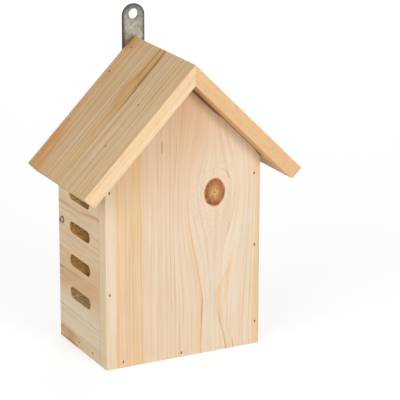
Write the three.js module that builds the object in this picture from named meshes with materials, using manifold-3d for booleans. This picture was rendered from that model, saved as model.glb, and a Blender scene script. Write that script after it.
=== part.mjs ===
import * as THREE from 'three';
import { mergeVertices } from 'three/addons/utils/BufferGeometryUtils.js';
import Module from 'manifold-3d';

// A wooden ladybird house: a box with slotted side walls under a pitched roof. Its back door swings
// out and up on two side screws, and a steel strip behind the ridge hangs it on a hook.
// Millimetres. X runs to the right of the front, Y to the back and Z up. The origin is under the
// middle of the whole object, on the surface that it stands on.

// Box
const houseWidth = 140;
const bodyDepth = 92;
const wallHeight = 164.5;
const frontThick = 12;
const wallThick = 12;
const floorThick = 12;
const backThick = 12;
const boardGap = 0.3;

// Roof
const roofPitchDegrees = 45;
const roofThick = 12;
const roofSlopeLength = 137;
const frontOverhang = 20;

// Slots in each side wall
const slotCount = 4;
const slotLength = 39.5;
const slotHeight = 9.8;
const slotSpacing = 28.6;
const lowestSlotHeight = 46.2;
const slotsBehindFront = 30.5;

// Back door and its two pivot screws
const pivotHeight = 104.5;
const pivotFromRear = 7.5;
const doorAbovePivot = 18;
const doorBottomGap = 1.5;
const doorSideGap = 1;
const doorSwingGap = 0.5;
const pivotRunningGap = 0.15;

// Pan-head screws
const screwHeadRadius = 3.1;
const screwHeadHeight = 2.3;
const screwShankRadius = 1.75;
const screwPointLength = 3;
const pivotScrewLength = 28;
const stripScrewLength = 10;
const crossArmLength = 3.6;
const crossArmWidth = 0.9;
const crossDepth = 1.3;
const screwHoleGap = 0.25;

// Hanging strip
const stripWidth = 20;
const stripThick = 1.5;
const stripLength = 80;
const stripAboveRidge = 27;
const hookHoleRadius = 4.3;
const hookHoleDrop = 8.5;
const lowStripScrewRise = 8;
const stripScrewSpacing = 13;

// Brad nails, with flat T heads set below the surface
const nailLength = 25;
const nailWidth = 1.2;
const nailThick = 1.1;
const nailHeadWidth = 2;
const nailHeadHeight = 0.8;
const nailPoint = 1.4;
const nailSink = 0.5;
const nailGap = 0.25;

// Finish of the facets, and the length by which a cutter runs past the face that it enters
const roundSegments = 32;
const arcSegments = 16;
const cutOverrun = 2;

// Sizes worked out from the ones above
const halfWidth = houseWidth / 2;
const innerHalfWidth = halfWidth - wallThick;
const roofPitch = THREE.MathUtils.degToRad(roofPitchDegrees);
const ridgeHeight = wallHeight + halfWidth * Math.tan(roofPitch) + roofThick / Math.cos(roofPitch);
const backFaceInside = bodyDepth - backThick;
const wallFrontY = frontThick + boardGap;
const slotMiddleY = slotsBehindFront + slotLength / 2;
const pivotY = bodyDepth - pivotFromRear;
const doorTopReach = Math.hypot(pivotFromRear, doorAbovePivot);
const gableBottom = pivotHeight + doorTopReach + doorSwingGap;
const doorHalfWidth = innerHalfWidth - doorSideGap;
const stripTop = ridgeHeight + stripAboveRidge;
const stripFrontY = bodyDepth + boardGap;
const stripBackY = stripFrontY + stripThick;

const wasm = await Module();
wasm.setup();

// Materials

/** A material of a colour, a roughness and a metalness. */
function finish(color, roughness, metalness) {
  return new THREE.MeshStandardMaterial({ color, roughness, metalness });
}

const pineColors = { front: 0xe9cba3, wall: 0xcdb48c, roof: 0xcfae7e, hidden: 0xd9bc90 };
const pine = (color) => finish(color, 0.6, 0);
const galvanisedSteel = () => finish(0xa9a7a1, 0.45, 0.9);
const zincSteel = () => finish(0xb4b6b8, 0.3, 1);
const bradSteel = () => finish(0x54504b, 0.5, 0.8);

// Solids

/** The closed, welded solid of a geometry, for joining and cutting. */
function solidOf(geometry) {
  const bare = geometry.clone();
  bare.deleteAttribute('normal');
  bare.deleteAttribute('uv');
  const welded = mergeVertices(bare);
  return new wasm.Manifold(new wasm.Mesh({
    numProp: 3,
    vertProperties: new Float32Array(welded.attributes.position.array),
    triVerts: new Uint32Array(welded.index.array),
  }));
}

/** The geometry of a solid, with flat faces. */
function geometryOf(solid) {
  const mesh = solid.getMesh();
  const geometry = new THREE.BufferGeometry();
  geometry.setAttribute('position', new THREE.BufferAttribute(new Float32Array(mesh.vertProperties), 3));
  geometry.setIndex(new THREE.BufferAttribute(new Uint32Array(mesh.triVerts), 1));
  const flat = geometry.toNonIndexed();
  flat.computeVertexNormals();
  return flat;
}

/** The geometry left when every cutter is taken out of a body. */
function cut(geometry, cutters) {
  const solid = cutters.reduce((rest, cutter) => rest.subtract(solidOf(cutter)), solidOf(geometry));
  return geometryOf(solid);
}

/** A closed outline through points, each a pair of its two coordinates. */
function outline(points) {
  return new THREE.Shape(points.map(([across, up]) => new THREE.Vector2(across, up)));
}

/** A shape pushed out to a depth along Z. */
function extruded(shape, depth) {
  return new THREE.ExtrudeGeometry(shape, { depth, bevelEnabled: false, curveSegments: arcSegments });
}

/** A plate whose outline is given in X and Z, from one Y to another. */
function uprightPlate(shape, fromY, toY) {
  return extruded(shape, toY - fromY).rotateX(Math.PI / 2).translate(0, toY, 0);
}

/** A box between two corners, each given as X, Y and Z. */
function boxBetween(low, high) {
  const size = high.map((value, axis) => value - low[axis]);
  const middle = high.map((value, axis) => (value + low[axis]) / 2);
  return new THREE.BoxGeometry(...size).translate(...middle);
}

/** A round rod along Z, from zero up to a length. */
function rod(radius, length) {
  return new THREE.CylinderGeometry(radius, radius, length, roundSegments)
    .rotateX(Math.PI / 2)
    .translate(0, 0, length / 2);
}

// Roof lines

/** The height of the roof boards' underside over a place across the house. */
function roofUnderside(across) {
  return wallHeight + (halfWidth - Math.abs(across)) * Math.tan(roofPitch);
}

/** The height of the sloping top of a piece that carries the roof. */
function seatUnderRoof(across) {
  return roofUnderside(across) - boardGap / Math.cos(roofPitch);
}

/** The outline of one roof board. side is -1 on the left and 1 on the right. */
function roofOutline(side) {
  const ridgeX = boardGap / 2;
  const ridgeDrop = ridgeX * Math.tan(roofPitch);
  const eaveX = roofSlopeLength * Math.cos(roofPitch);
  const eaveZ = ridgeHeight - roofSlopeLength * Math.sin(roofPitch);
  const inX = roofThick * Math.sin(roofPitch);
  const inZ = roofThick * Math.cos(roofPitch);
  return outline([
    [side * ridgeX, ridgeHeight - ridgeDrop],
    [side * eaveX, eaveZ],
    [side * (eaveX - inX), eaveZ - inZ],
    [side * ridgeX, roofUnderside(0) - ridgeDrop],
  ]);
}

// Places of the fasteners. Each is a frame whose local Z points out of the surface that the fastener
// is driven into, and whose local X runs along the grain there.

/** The frame at a position, from its X and Z directions. */
function placed(position, along, out) {
  const frame = new THREE.Matrix4().makeBasis(along, out.clone().cross(along), out);
  return frame.setPosition(position);
}

const left = new THREE.Vector3(-1, 0, 0);
const right = new THREE.Vector3(1, 0, 0);
const front = new THREE.Vector3(0, -1, 0);
const back = new THREE.Vector3(0, 1, 0);
const up = new THREE.Vector3(0, 0, 1);

/** A place on the front panel, from its left edge and its bottom. */
function onFront(fromLeft, height) {
  return placed(new THREE.Vector3(fromLeft - halfWidth, 0, height), up, front);
}

/** A place on the outer face of a side wall. */
function onWall(side, fromFront, height) {
  return placed(new THREE.Vector3(side * halfWidth, fromFront, height), back, side < 0 ? left : right);
}

/** A place on the top of a roof board, from the ridge and from the front panel's face. */
function onRoof(side, downSlope, fromFront) {
  const along = new THREE.Vector3(side * Math.cos(roofPitch), 0, -Math.sin(roofPitch));
  const out = new THREE.Vector3(side * Math.sin(roofPitch), 0, Math.cos(roofPitch));
  const ridge = new THREE.Vector3(0, fromFront, ridgeHeight);
  return placed(ridge.addScaledVector(along, downSlope), along, out);
}

// Brads through the front panel into the walls: shares of the wall's thickness, from the outside, and
// of the wall's height.
const leftEdgeNailShares = [[0.31, 0.913], [0.28, 0.392]];
const rightEdgeNailShares = [[0.49, 0.907], [0.42, 0.533], [0.32, 0.12]];

// Brads through the front panel into the floor: shares of the width between the walls, from the left,
// and of the floor's thickness.
const frontFloorNailShares = [[0.025, 0.43], [0.479, 0.3]];

// Brads through the side walls into the floor: shares of the floor's depth behind the tips of the brads
// from the front, and of its thickness.
const leftFloorNailShares = [[0.04, 0.47], [0.534, 0.48]];
const rightFloorNailShares = [[0.07, 0.45], [0.57, 0.5]];

// Brads through a roof board: shares of the half width of the board below, where they enter it, and of
// that board's thickness.
const leftPanelNailShares = [[0.384, 0.86], [0.807, 0.77]];
const leftGableNailShares = [[0.299, 0.42], [0.929, 0.46]];
const rightPanelNailShares = [[0.35, 0.55], [0.79, 0.6]];
const rightGableNailShares = [[0.33, 0.5], [0.92, 0.44]];

// Brads through one roof board into the end of the other: shares of the boards' thickness, down from
// the ridge, and of the roof's depth, from the front.
const leftRidgeNailShares = [[0.808, 0.912]];
const rightRidgeNailShares = [[0.583, 0.141]];

// Rules that give a brad's place from its two shares. Those for a side take the side first.
const onLeftEdge = (inward, height) => onFront(inward * wallThick, height * wallHeight);
const onRightEdge = (inward, height) => onFront(houseWidth - inward * wallThick, height * wallHeight);
const overFloor = (across, height) => onFront(wallThick + across * 2 * innerHalfWidth, height * floorThick);
const besideFloor = (side) => (along, height) => {
  const frontBradTip = nailSink + nailLength;
  return onWall(side, frontBradTip + along * (backFaceInside - frontBradTip), height * floorThick);
};
const overBoard = (side, entersAt, fromFront) => {
  return onRoof(side, (entersAt + roofThick * Math.sin(roofPitch)) / Math.cos(roofPitch), fromFront);
};
const overPanel = (side) => (across, inward) => overBoard(side, across * halfWidth, inward * frontThick);
const overGable = (side) => (across, inward) => {
  return overBoard(side, across * innerHalfWidth, backFaceInside + inward * backThick);
};
const overRidge = (side) => (down, along) => {
  const fromFront = along * (frontOverhang + bodyDepth) - frontOverhang;
  return onRoof(side, down * roofThick * Math.tan(roofPitch), fromFront);
};

/** A row of brads: their names, their frames, and the two boards that they join. */
function bradRow(name, shares, rule, boards) {
  return shares.map((pair, index) => ({ name: `${name}_${index + 1}`, frame: rule(...pair), boards }));
}

const brads = [
  bradRow('brad_front_left', leftEdgeNailShares, onLeftEdge, ['front_panel', 'left_wall']),
  bradRow('brad_front_right', rightEdgeNailShares, onRightEdge, ['front_panel', 'right_wall']),
  bradRow('brad_front_floor', frontFloorNailShares, overFloor, ['front_panel', 'floor_board']),
  bradRow('brad_left_floor', leftFloorNailShares, besideFloor(-1), ['left_wall', 'floor_board']),
  bradRow('brad_right_floor', rightFloorNailShares, besideFloor(1), ['right_wall', 'floor_board']),
  bradRow('brad_roof_left_panel', leftPanelNailShares, overPanel(-1), ['roof_left', 'front_panel']),
  bradRow('brad_roof_left_gable', leftGableNailShares, overGable(-1), ['roof_left', 'back_gable']),
  bradRow('brad_roof_right_panel', rightPanelNailShares, overPanel(1), ['roof_right', 'front_panel']),
  bradRow('brad_roof_right_gable', rightGableNailShares, overGable(1), ['roof_right', 'back_gable']),
  bradRow('brad_ridge_left', leftRidgeNailShares, overRidge(-1), ['roof_left', 'roof_right']),
  bradRow('brad_ridge_right', rightRidgeNailShares, overRidge(1), ['roof_left', 'roof_right']),
].flat();

/** A T-headed brad or, with a gap all round and an overrun above, the hole that it sits in. */
function bradShape(gap, overrun) {
  const half = nailWidth / 2 + gap;
  const halfHead = nailHeadWidth / 2 + gap;
  const top = overrun > 0 ? overrun : -nailSink;
  const underHead = -nailSink - nailHeadHeight - gap;
  const tip = -nailSink - nailLength - gap;
  const shape = outline([
    [-halfHead, top],
    [-halfHead, underHead],
    [-half, underHead],
    [-half, tip + nailPoint],
    [0, tip],
    [half, tip + nailPoint],
    [half, underHead],
    [halfHead, underHead],
    [halfHead, top],
  ]);
  const depth = nailThick + 2 * gap;
  return extruded(shape, depth).translate(0, 0, -depth / 2).rotateX(Math.PI / 2);
}

/** The holes that a board needs for the brads that go into it. */
function bradHoles(board) {
  return brads
    .filter((brad) => brad.boards.includes(board))
    .map((brad) => bradShape(nailGap, cutOverrun).applyMatrix4(brad.frame));
}

// Screws. Each frame's local Z points out of the head.

const screwSeat = boardGap / 2;
const pivotFrames = {
  left: onWall(-1, pivotY, pivotHeight),
  right: onWall(1, pivotY, pivotHeight),
};
const stripBottom = stripTop - stripLength;
const stripScrewRises = [lowStripScrewRise, lowStripScrewRise + stripScrewSpacing];
const stripFrames = stripScrewRises.map((rise) => {
  return placed(new THREE.Vector3(0, stripBackY, stripBottom + rise), up, back);
});

/** A pan-head screw of a length under its head, with a cross recess. */
function screwShape(length) {
  const domeShares = [[1, 0.25], [0.94, 0.55], [0.76, 0.82], [0.45, 0.97]];
  const profile = [
    [0, screwSeat - length],
    [screwShankRadius, screwSeat - length + screwPointLength],
    [screwShankRadius, screwSeat],
    [screwHeadRadius, screwSeat],
    ...domeShares.map(([out, rise]) => [out * screwHeadRadius, screwSeat + rise * screwHeadHeight]),
    [0, screwSeat + screwHeadHeight],
  ].map(([radius, height]) => new THREE.Vector2(radius, height));
  const body = new THREE.LatheGeometry(profile, roundSegments).rotateX(Math.PI / 2);
  const floor = screwSeat + screwHeadHeight - crossDepth;
  const top = screwSeat + screwHeadHeight + cutOverrun;
  const arm = [crossArmLength / 2, crossArmWidth / 2];
  const armAlong = boxBetween([-arm[0], -arm[1], floor], [arm[0], arm[1], top]);
  const armAcross = boxBetween([-arm[1], -arm[0], floor], [arm[1], arm[0], top]);
  return cut(body, [armAlong, armAcross]);
}

/** A round hole in a place's frame, from above its surface down to a depth. */
function holeAt(frame, radius, depth) {
  return rod(radius, depth + cutOverrun).translate(0, 0, -depth).applyMatrix4(frame);
}

// Boards

/** The front panel: a house-shaped board in one piece. */
function frontPanel() {
  const shape = outline([
    [-halfWidth, 0],
    [halfWidth, 0],
    [halfWidth, seatUnderRoof(halfWidth)],
    [0, seatUnderRoof(0)],
    [-halfWidth, seatUnderRoof(halfWidth)],
  ]);
  return cut(uprightPlate(shape, 0, frontThick), bradHoles('front_panel'));
}

/** A cutter with round ends that opens one slot right through both side walls. */
function slotCutter(height) {
  const radius = slotHeight / 2;
  const reach = slotLength / 2 - radius;
  const shape = new THREE.Shape();
  shape.absarc(reach, 0, radius, -Math.PI / 2, Math.PI / 2, false);
  shape.absarc(-reach, 0, radius, Math.PI / 2, -Math.PI / 2, false);
  const length = houseWidth + 2 * cutOverrun;
  return extruded(shape, length)
    .rotateX(Math.PI / 2)
    .rotateZ(Math.PI / 2)
    .translate(-length / 2, slotMiddleY, height);
}

/** A side wall with its slots, its top bevelled to the roof. */
function sideWall(side, name) {
  const outer = side * halfWidth;
  const inner = side * innerHalfWidth;
  const shape = outline([
    [outer, 0],
    [inner, 0],
    [inner, seatUnderRoof(innerHalfWidth)],
    [outer, seatUnderRoof(halfWidth)],
  ]);
  const slots = [...Array(slotCount).keys()].map((row) => slotCutter(lowestSlotHeight + row * slotSpacing));
  const pivotHole = holeAt(
    side < 0 ? pivotFrames.left : pivotFrames.right,
    screwShankRadius + screwHoleGap,
    wallThick + cutOverrun,
  );
  return cut(uprightPlate(shape, wallFrontY, bodyDepth), [...slots, pivotHole, ...bradHoles(name)]);
}

/** The floor, let in between the walls and the front panel. */
function floorBoard() {
  const reach = innerHalfWidth - boardGap;
  const board = boxBetween([-reach, wallFrontY, 0], [reach, backFaceInside - boardGap, floorThick]);
  return cut(board, bradHoles('floor_board'));
}

/** The fixed upper part of the back, which the roof is nailed to and the strip is screwed to. */
function backGable() {
  const reach = innerHalfWidth - boardGap;
  const shape = outline([
    [-reach, gableBottom],
    [reach, gableBottom],
    [reach, seatUnderRoof(reach)],
    [0, seatUnderRoof(0)],
    [-reach, seatUnderRoof(reach)],
  ]);
  const screwHoles = stripFrames.map((frame) => {
    const depth = stripScrewLength + screwHoleGap;
    return holeAt(frame, screwShankRadius + screwHoleGap, depth);
  });
  return cut(uprightPlate(shape, backFaceInside, bodyDepth), [...screwHoles, ...bradHoles('back_gable')]);
}

/** The back door, bored in both edges for its pivot screws. */
function backDoor() {
  const board = boxBetween(
    [-doorHalfWidth, backFaceInside, doorBottomGap],
    [doorHalfWidth, bodyDepth, pivotHeight + doorAbovePivot],
  );
  const bores = Object.values(pivotFrames).map((frame) => {
    const depth = pivotScrewLength + screwHoleGap;
    return holeAt(frame, screwShankRadius + pivotRunningGap, depth);
  });
  return cut(board, bores);
}

/** One roof board, mitred at the ridge. */
function roofBoard(side, name) {
  return cut(uprightPlate(roofOutline(side), -frontOverhang, bodyDepth), bradHoles(name));
}

/** The hanging strip: round at its top, with a hook hole and two screw holes. */
function hangingStrip() {
  const radius = stripWidth / 2;
  const shape = new THREE.Shape();
  shape.moveTo(-radius, stripBottom);
  shape.lineTo(radius, stripBottom);
  shape.absarc(0, stripTop - radius, radius, 0, Math.PI, false);
  const hole = new THREE.Path();
  hole.absarc(0, stripTop - hookHoleDrop, hookHoleRadius, 0, 2 * Math.PI, true);
  shape.holes.push(hole);
  const screwHoles = stripFrames.map((frame) => {
    return holeAt(frame, screwShankRadius + screwHoleGap, stripThick + cutOverrun);
  });
  return cut(uprightPlate(shape, stripFrontY, stripBackY), screwHoles);
}

// Assembly

/** A named piece whose shape is already in place. */
function piece(name, geometry, material) {
  const mesh = new THREE.Mesh(geometry, material);
  mesh.name = name;
  return mesh;
}

/** A named fastener, put where its frame says. */
function fastener(name, geometry, material, frame) {
  const mesh = piece(name, geometry, material);
  frame.decompose(mesh.position, mesh.quaternion, mesh.scale);
  return mesh;
}

const box = new THREE.Group();
box.add(
  piece('front_panel', frontPanel(), pine(pineColors.front)),
  piece('left_wall', sideWall(-1, 'left_wall'), pine(pineColors.wall)),
  piece('right_wall', sideWall(1, 'right_wall'), pine(pineColors.wall)),
  piece('floor_board', floorBoard(), pine(pineColors.hidden)),
  piece('back_gable', backGable(), pine(pineColors.hidden)),
);

const roof = new THREE.Group();
roof.add(
  piece('roof_left', roofBoard(-1, 'roof_left'), pine(pineColors.roof)),
  piece('roof_right', roofBoard(1, 'roof_right'), pine(pineColors.roof)),
);

const door = new THREE.Group();
door.add(piece('back_door', backDoor(), pine(pineColors.hidden)));
for (const [side, frame] of Object.entries(pivotFrames)) {
  door.add(fastener(`pivot_screw_${side}`, screwShape(pivotScrewLength), zincSteel(), frame));
}

const hanger = new THREE.Group();
hanger.add(piece('hanging_strip', hangingStrip(), galvanisedSteel()));
for (const [index, frame] of stripFrames.entries()) {
  hanger.add(fastener(`strip_screw_${index + 1}`, screwShape(stripScrewLength), zincSteel(), frame));
}

const nails = new THREE.Group();
for (const brad of brads) {
  nails.add(fastener(brad.name, bradShape(0, 0), bradSteel(), brad.frame));
}

const house = new THREE.Group();
house.add(box, roof, door, hanger, nails);
house.position.y = (frontOverhang - stripBackY - screwSeat - screwHeadHeight) / 2;

export default house;
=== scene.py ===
"""A wooden ladybird house: a slotted box under a pitched roof, with a back door on two screws.

Every length is in metres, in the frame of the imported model: X to the right of the front, Y to the back
and Z up. Each board, screw, brad and strip is modelled round its node, and finished as sanded pine,
galvanised strip steel, zinc or brad steel.
"""

import logging
import math
from collections.abc import Callable
from dataclasses import dataclass, replace
from enum import Enum

import bpy
from mathutils import Matrix, Quaternion, Vector


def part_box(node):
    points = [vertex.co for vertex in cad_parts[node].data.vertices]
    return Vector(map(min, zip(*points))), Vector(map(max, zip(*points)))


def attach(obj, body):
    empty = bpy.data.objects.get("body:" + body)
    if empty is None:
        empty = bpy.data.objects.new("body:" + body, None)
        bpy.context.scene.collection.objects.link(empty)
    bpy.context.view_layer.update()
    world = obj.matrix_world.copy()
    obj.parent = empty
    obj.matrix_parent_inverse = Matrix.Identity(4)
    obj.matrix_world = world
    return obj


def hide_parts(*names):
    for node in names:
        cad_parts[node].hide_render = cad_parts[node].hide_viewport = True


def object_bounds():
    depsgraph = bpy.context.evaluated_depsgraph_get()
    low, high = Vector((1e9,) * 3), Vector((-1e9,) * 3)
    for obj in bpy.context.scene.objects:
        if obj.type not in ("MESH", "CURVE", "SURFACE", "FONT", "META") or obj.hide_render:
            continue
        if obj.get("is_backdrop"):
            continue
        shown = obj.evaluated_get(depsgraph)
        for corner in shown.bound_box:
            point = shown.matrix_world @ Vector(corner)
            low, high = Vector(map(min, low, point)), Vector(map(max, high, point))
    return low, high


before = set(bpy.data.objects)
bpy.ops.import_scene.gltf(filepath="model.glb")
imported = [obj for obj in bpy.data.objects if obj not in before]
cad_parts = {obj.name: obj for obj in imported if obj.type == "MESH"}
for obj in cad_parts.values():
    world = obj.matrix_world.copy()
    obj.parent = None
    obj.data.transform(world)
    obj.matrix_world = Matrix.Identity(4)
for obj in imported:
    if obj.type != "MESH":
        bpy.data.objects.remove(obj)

Piece = bpy.types.Object
Colour = tuple[float, float, float, float]
Stop = tuple[float, int, int, int]

MM = 0.001
PER_MM = (1 / MM,) * 3
SLACK = 0.001 * MM
WELD = 0.01 * MM
LIP = 1.0 * MM
RIGHT_ANGLE = math.pi / 2
ROOF_PITCH = math.radians(45)
EASED_ANGLE = math.radians(28)
SMOOTH_ANGLE = math.radians(40)
THREAD_ANGLE = math.radians(35)
LEVEL_ANGLE = math.radians(3)
PARALLEL = 0.999
HALF = 0.5
WHITE = (255, 255, 255)

UP, RIGHTWARD, LEFTWARD = Vector((0, 0, 1)), Vector((1, 0, 0)), Vector((-1, 0, 0))
BACKWARD, FORWARD, DOWN = Vector((0, 1, 0)), Vector((0, -1, 0)), Vector((0, 0, -1))

log = logging.getLogger("ladybird_house")


def shade(red: int, green: int, blue: int) -> Colour:
    """A colour as it is seen on a screen, in parts of 255, turned into the light that it stands for.

    Args:
        red: The red part.
        green: The green part.
        blue: The blue part.

    Returns:
        The colour as linear red, green and blue, with full cover.
    """
    full, knee, toe, gain, bend = 255, 0.04045, 12.92, 1.055, 2.4
    parts = [part / full for part in (red, green, blue)]
    light = [p / toe if p <= knee else ((p + gain - 1) / gain) ** bend for p in parts]
    return (light[0], light[1], light[2], 1.0)


class Turn(Enum):
    """The directions that faces and fasteners point to, each with a direction along the face."""

    FRONT = (FORWARD, UP)
    BACK = (BACKWARD, UP)
    LEFT = (LEFTWARD, BACKWARD)
    RIGHT = (RIGHTWARD, BACKWARD)
    ROOF_LEFT = (
        Vector((-math.sin(ROOF_PITCH), 0, math.cos(ROOF_PITCH))),
        Vector((-math.cos(ROOF_PITCH), 0, -math.sin(ROOF_PITCH))),
    )
    ROOF_RIGHT = (
        Vector((math.sin(ROOF_PITCH), 0, math.cos(ROOF_PITCH))),
        Vector((math.cos(ROOF_PITCH), 0, -math.sin(ROOF_PITCH))),
    )

    def axes(self) -> tuple[Vector, Vector, Vector]:
        """The direction along the face, the one across it, and the one out of it."""
        out, along = self.value
        return along, out.cross(along), out


def facing(place: Vector, turn: Turn) -> Matrix:
    """A frame at a place, with its Z out of the face there and its X along it."""
    return Matrix.Translation(place) @ Matrix(turn.axes()).transposed().to_4x4()


def seat(node: str, turn: Turn) -> Matrix:
    """Where a fastener's node meets the outside.

    Args:
        node: The node's name.
        turn: The way that the fastener's head faces.

    Returns:
        A frame at the middle of the node's outermost end, with its Z out of the head and its X along
        the face.
    """
    along, across, out = axes = turn.axes()
    reach = [[axis.dot(v.co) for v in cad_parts[node].data.vertices] for axis in axes]
    place = along * (min(reach[0]) + max(reach[0])) / 2
    place += across * (min(reach[1]) + max(reach[1])) / 2
    place += out * max(reach[2])
    return facing(place, turn)


# Hand tools


def pick(piece: Piece) -> None:
    """Select one piece alone and make it the one worked on.

    Args:
        piece: The piece.
    """
    bpy.ops.object.select_all(action="DESELECT")
    piece.select_set(True)
    bpy.context.view_layer.objects.active = piece


def settle(piece: Piece) -> Piece:
    """Put a piece's place, turn and scale into its mesh.

    Args:
        piece: The piece, anywhere.

    Returns:
        The same piece, with its object at the origin.
    """
    pick(piece)
    bpy.ops.object.transform_apply(location=True, rotation=True, scale=True)
    return piece


def added(name: str) -> Piece:
    """Name the primitive that was added last.

    Args:
        name: Its name.

    Returns:
        The primitive.
    """
    piece = bpy.context.active_object
    piece.name = piece.data.name = name
    return piece


def block(name: str, low: Vector, high: Vector) -> Piece:
    """A squared block.

    Args:
        name: The piece's name.
        low: Its lowest corner.
        high: Its highest corner.

    Returns:
        The block, with its object at the origin.
    """
    bpy.ops.object.select_all(action="DESELECT")
    bpy.ops.mesh.primitive_cube_add(size=1, location=(low + high) / 2)
    piece = added(name)
    piece.scale = high - low
    return settle(piece)


def close_shaping() -> None:
    """Turn every face of the piece that is open for shaping outwards, and close it."""
    bpy.ops.mesh.select_all(action="SELECT")
    bpy.ops.mesh.normals_make_consistent(inside=False)
    bpy.ops.object.mode_set(mode="OBJECT")


def saw(piece: Piece, point: Vector, outward: Vector) -> None:
    """Saw a piece along a plane, drop what lies outside it and close the cut.

    Args:
        piece: The piece.
        point: A point on the plane.
        outward: The plane's normal, towards what is dropped.
    """
    pick(piece)
    bpy.ops.object.mode_set(mode="EDIT")
    bpy.ops.mesh.select_all(action="SELECT")
    bpy.ops.mesh.bisect(plane_co=point, plane_no=outward, use_fill=True, clear_outer=True)
    close_shaping()


def coat(piece: Piece, *materials: bpy.types.Material) -> Piece:
    """Give a piece its materials in place of any that it has.

    Args:
        piece: The piece.
        *materials: Its materials.

    Returns:
        The same piece.
    """
    piece.data.materials.clear()
    for material in materials:
        piece.data.materials.append(material)
    return piece


def work(piece: Piece, kind: str, **settings: object) -> None:
    """Shape a piece by one modifier.

    Args:
        piece: The piece.
        kind: The modifier's type.
        **settings: Its settings.
    """
    pick(piece)
    tool = piece.modifiers.new(kind.lower(), kind)
    for name, value in settings.items():
        setattr(tool, name, value)
    bpy.ops.object.modifier_apply(modifier=tool.name)


def cut(piece: Piece, cutters: list[Piece]) -> None:
    """Take cutters out of a piece. The faces that they leave keep the cutters' finish, or take the
    piece's own where a cutter has none.

    Args:
        piece: The piece.
        cutters: Closed pieces, which are used up.
    """
    for cutter in cutters:
        if not cutter.data.materials:
            coat(cutter, *piece.data.materials[:1])
        way = {"operation": "DIFFERENCE", "solver": "EXACT", "material_mode": "TRANSFER"}
        work(piece, "BOOLEAN", object=cutter, **way)
        bpy.data.objects.remove(cutter)


def ease(piece: Piece, width: float, steps: int) -> None:
    """Round a piece's sharp edges.

    Args:
        piece: The piece.
        width: How far the rounding reaches onto each face.
        steps: How many facets it has.
    """
    work(piece, "BEVEL", width=width, segments=steps, limit_method="ANGLE", angle_limit=EASED_ANGLE)


def smooth(piece: Piece) -> None:
    """Smooth the shading over a piece's rounded edges, and keep its broad faces level.

    Args:
        piece: The piece.
    """
    pick(piece)
    bpy.ops.object.shade_smooth_by_angle(angle=SMOOTH_ANGLE)
    work(piece, "WEIGHTED_NORMAL", keep_sharp=True)


def turned(name: str, profile: list[tuple[float, float]], sides: int) -> Piece:
    """A piece turned on a lathe, about the Z axis.

    Args:
        name: The piece's name.
        profile: Radius and height at each step, from the lowest end to the highest.
        sides: How many sides the turning has.

    Returns:
        The closed piece, with its object at the origin.
    """
    bpy.ops.object.select_all(action="DESELECT")
    radius, height = profile[0]
    bpy.ops.mesh.primitive_circle_add(
        vertices=sides, radius=radius, fill_type="NGON", location=(0, 0, height)
    )
    piece = settle(added(name))
    bpy.ops.object.mode_set(mode="EDIT")
    bpy.ops.mesh.select_all(action="SELECT")
    for next_radius, next_height in profile[1:]:
        bpy.ops.mesh.extrude_region_move(TRANSFORM_OT_translate={"value": (0, 0, next_height - height)})
        factor = next_radius / radius
        bpy.ops.transform.resize(value=(factor, factor, 1), center_override=(0, 0, next_height))
        radius, height = next_radius, next_height
    close_shaping()
    return piece


def choose(piece: Piece, kind: str, wanted: Callable[[object], bool]) -> None:
    """Open a piece for shaping with only some of its faces or edges selected.

    Args:
        piece: The piece.
        kind: FACE or EDGE.
        wanted: Says whether a face or an edge is selected.
    """
    pick(piece)
    bpy.ops.object.mode_set(mode="EDIT")
    bpy.ops.mesh.select_mode(type=kind)
    bpy.ops.mesh.select_all(action="DESELECT")
    bpy.ops.object.mode_set(mode="OBJECT")
    parts = piece.data.polygons if kind == "FACE" else piece.data.edges
    for part in parts:
        part.select = wanted(part)
    bpy.ops.object.mode_set(mode="EDIT")


def push_face(piece: Piece, outward: Vector, distance: float, scale: Vector) -> None:
    """Draw a piece's outermost face further out and resize it.

    Args:
        piece: The piece.
        outward: The way that the face looks.
        distance: How far it is drawn out.
        scale: How much its sides are scaled about its middle.
    """
    far = max(outward.dot(polygon.center) for polygon in piece.data.polygons)
    choose(piece, "FACE", lambda polygon: outward.dot(polygon.center) > far - SLACK)
    bpy.ops.mesh.extrude_region_move(TRANSFORM_OT_translate={"value": outward * distance})
    bpy.ops.transform.resize(value=scale)
    bpy.ops.object.mode_set(mode="OBJECT")


# Shader wiring


@dataclass(frozen=True)
class Wire:
    """What a node gives out. Sums are written with it as with a number."""

    wiring: "Wiring"
    socket: bpy.types.NodeSocket

    def __add__(self, other: "Number") -> "Wire":
        """Both together."""
        return self.wiring.math("ADD", self, other)

    def __sub__(self, other: "Number") -> "Wire":
        """What is left of it without the other."""
        return self.wiring.math("SUBTRACT", self, other)

    def __rsub__(self, other: float) -> "Wire":
        """What is left of a number without it."""
        return self.wiring.math("SUBTRACT", other, self)

    def __mul__(self, other: "Number") -> "Wire":
        """Their product."""
        return self.wiring.math("MULTIPLY", self, other)

    def __truediv__(self, other: "Number") -> "Wire":
        """How often the other goes into it."""
        return self.wiring.math("DIVIDE", self, other)

    def __pow__(self, other: "Number") -> "Wire":
        """Its power."""
        return self.wiring.math("POWER", self, other)


Number = Wire | float
Masks = dict[str, Wire]


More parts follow.
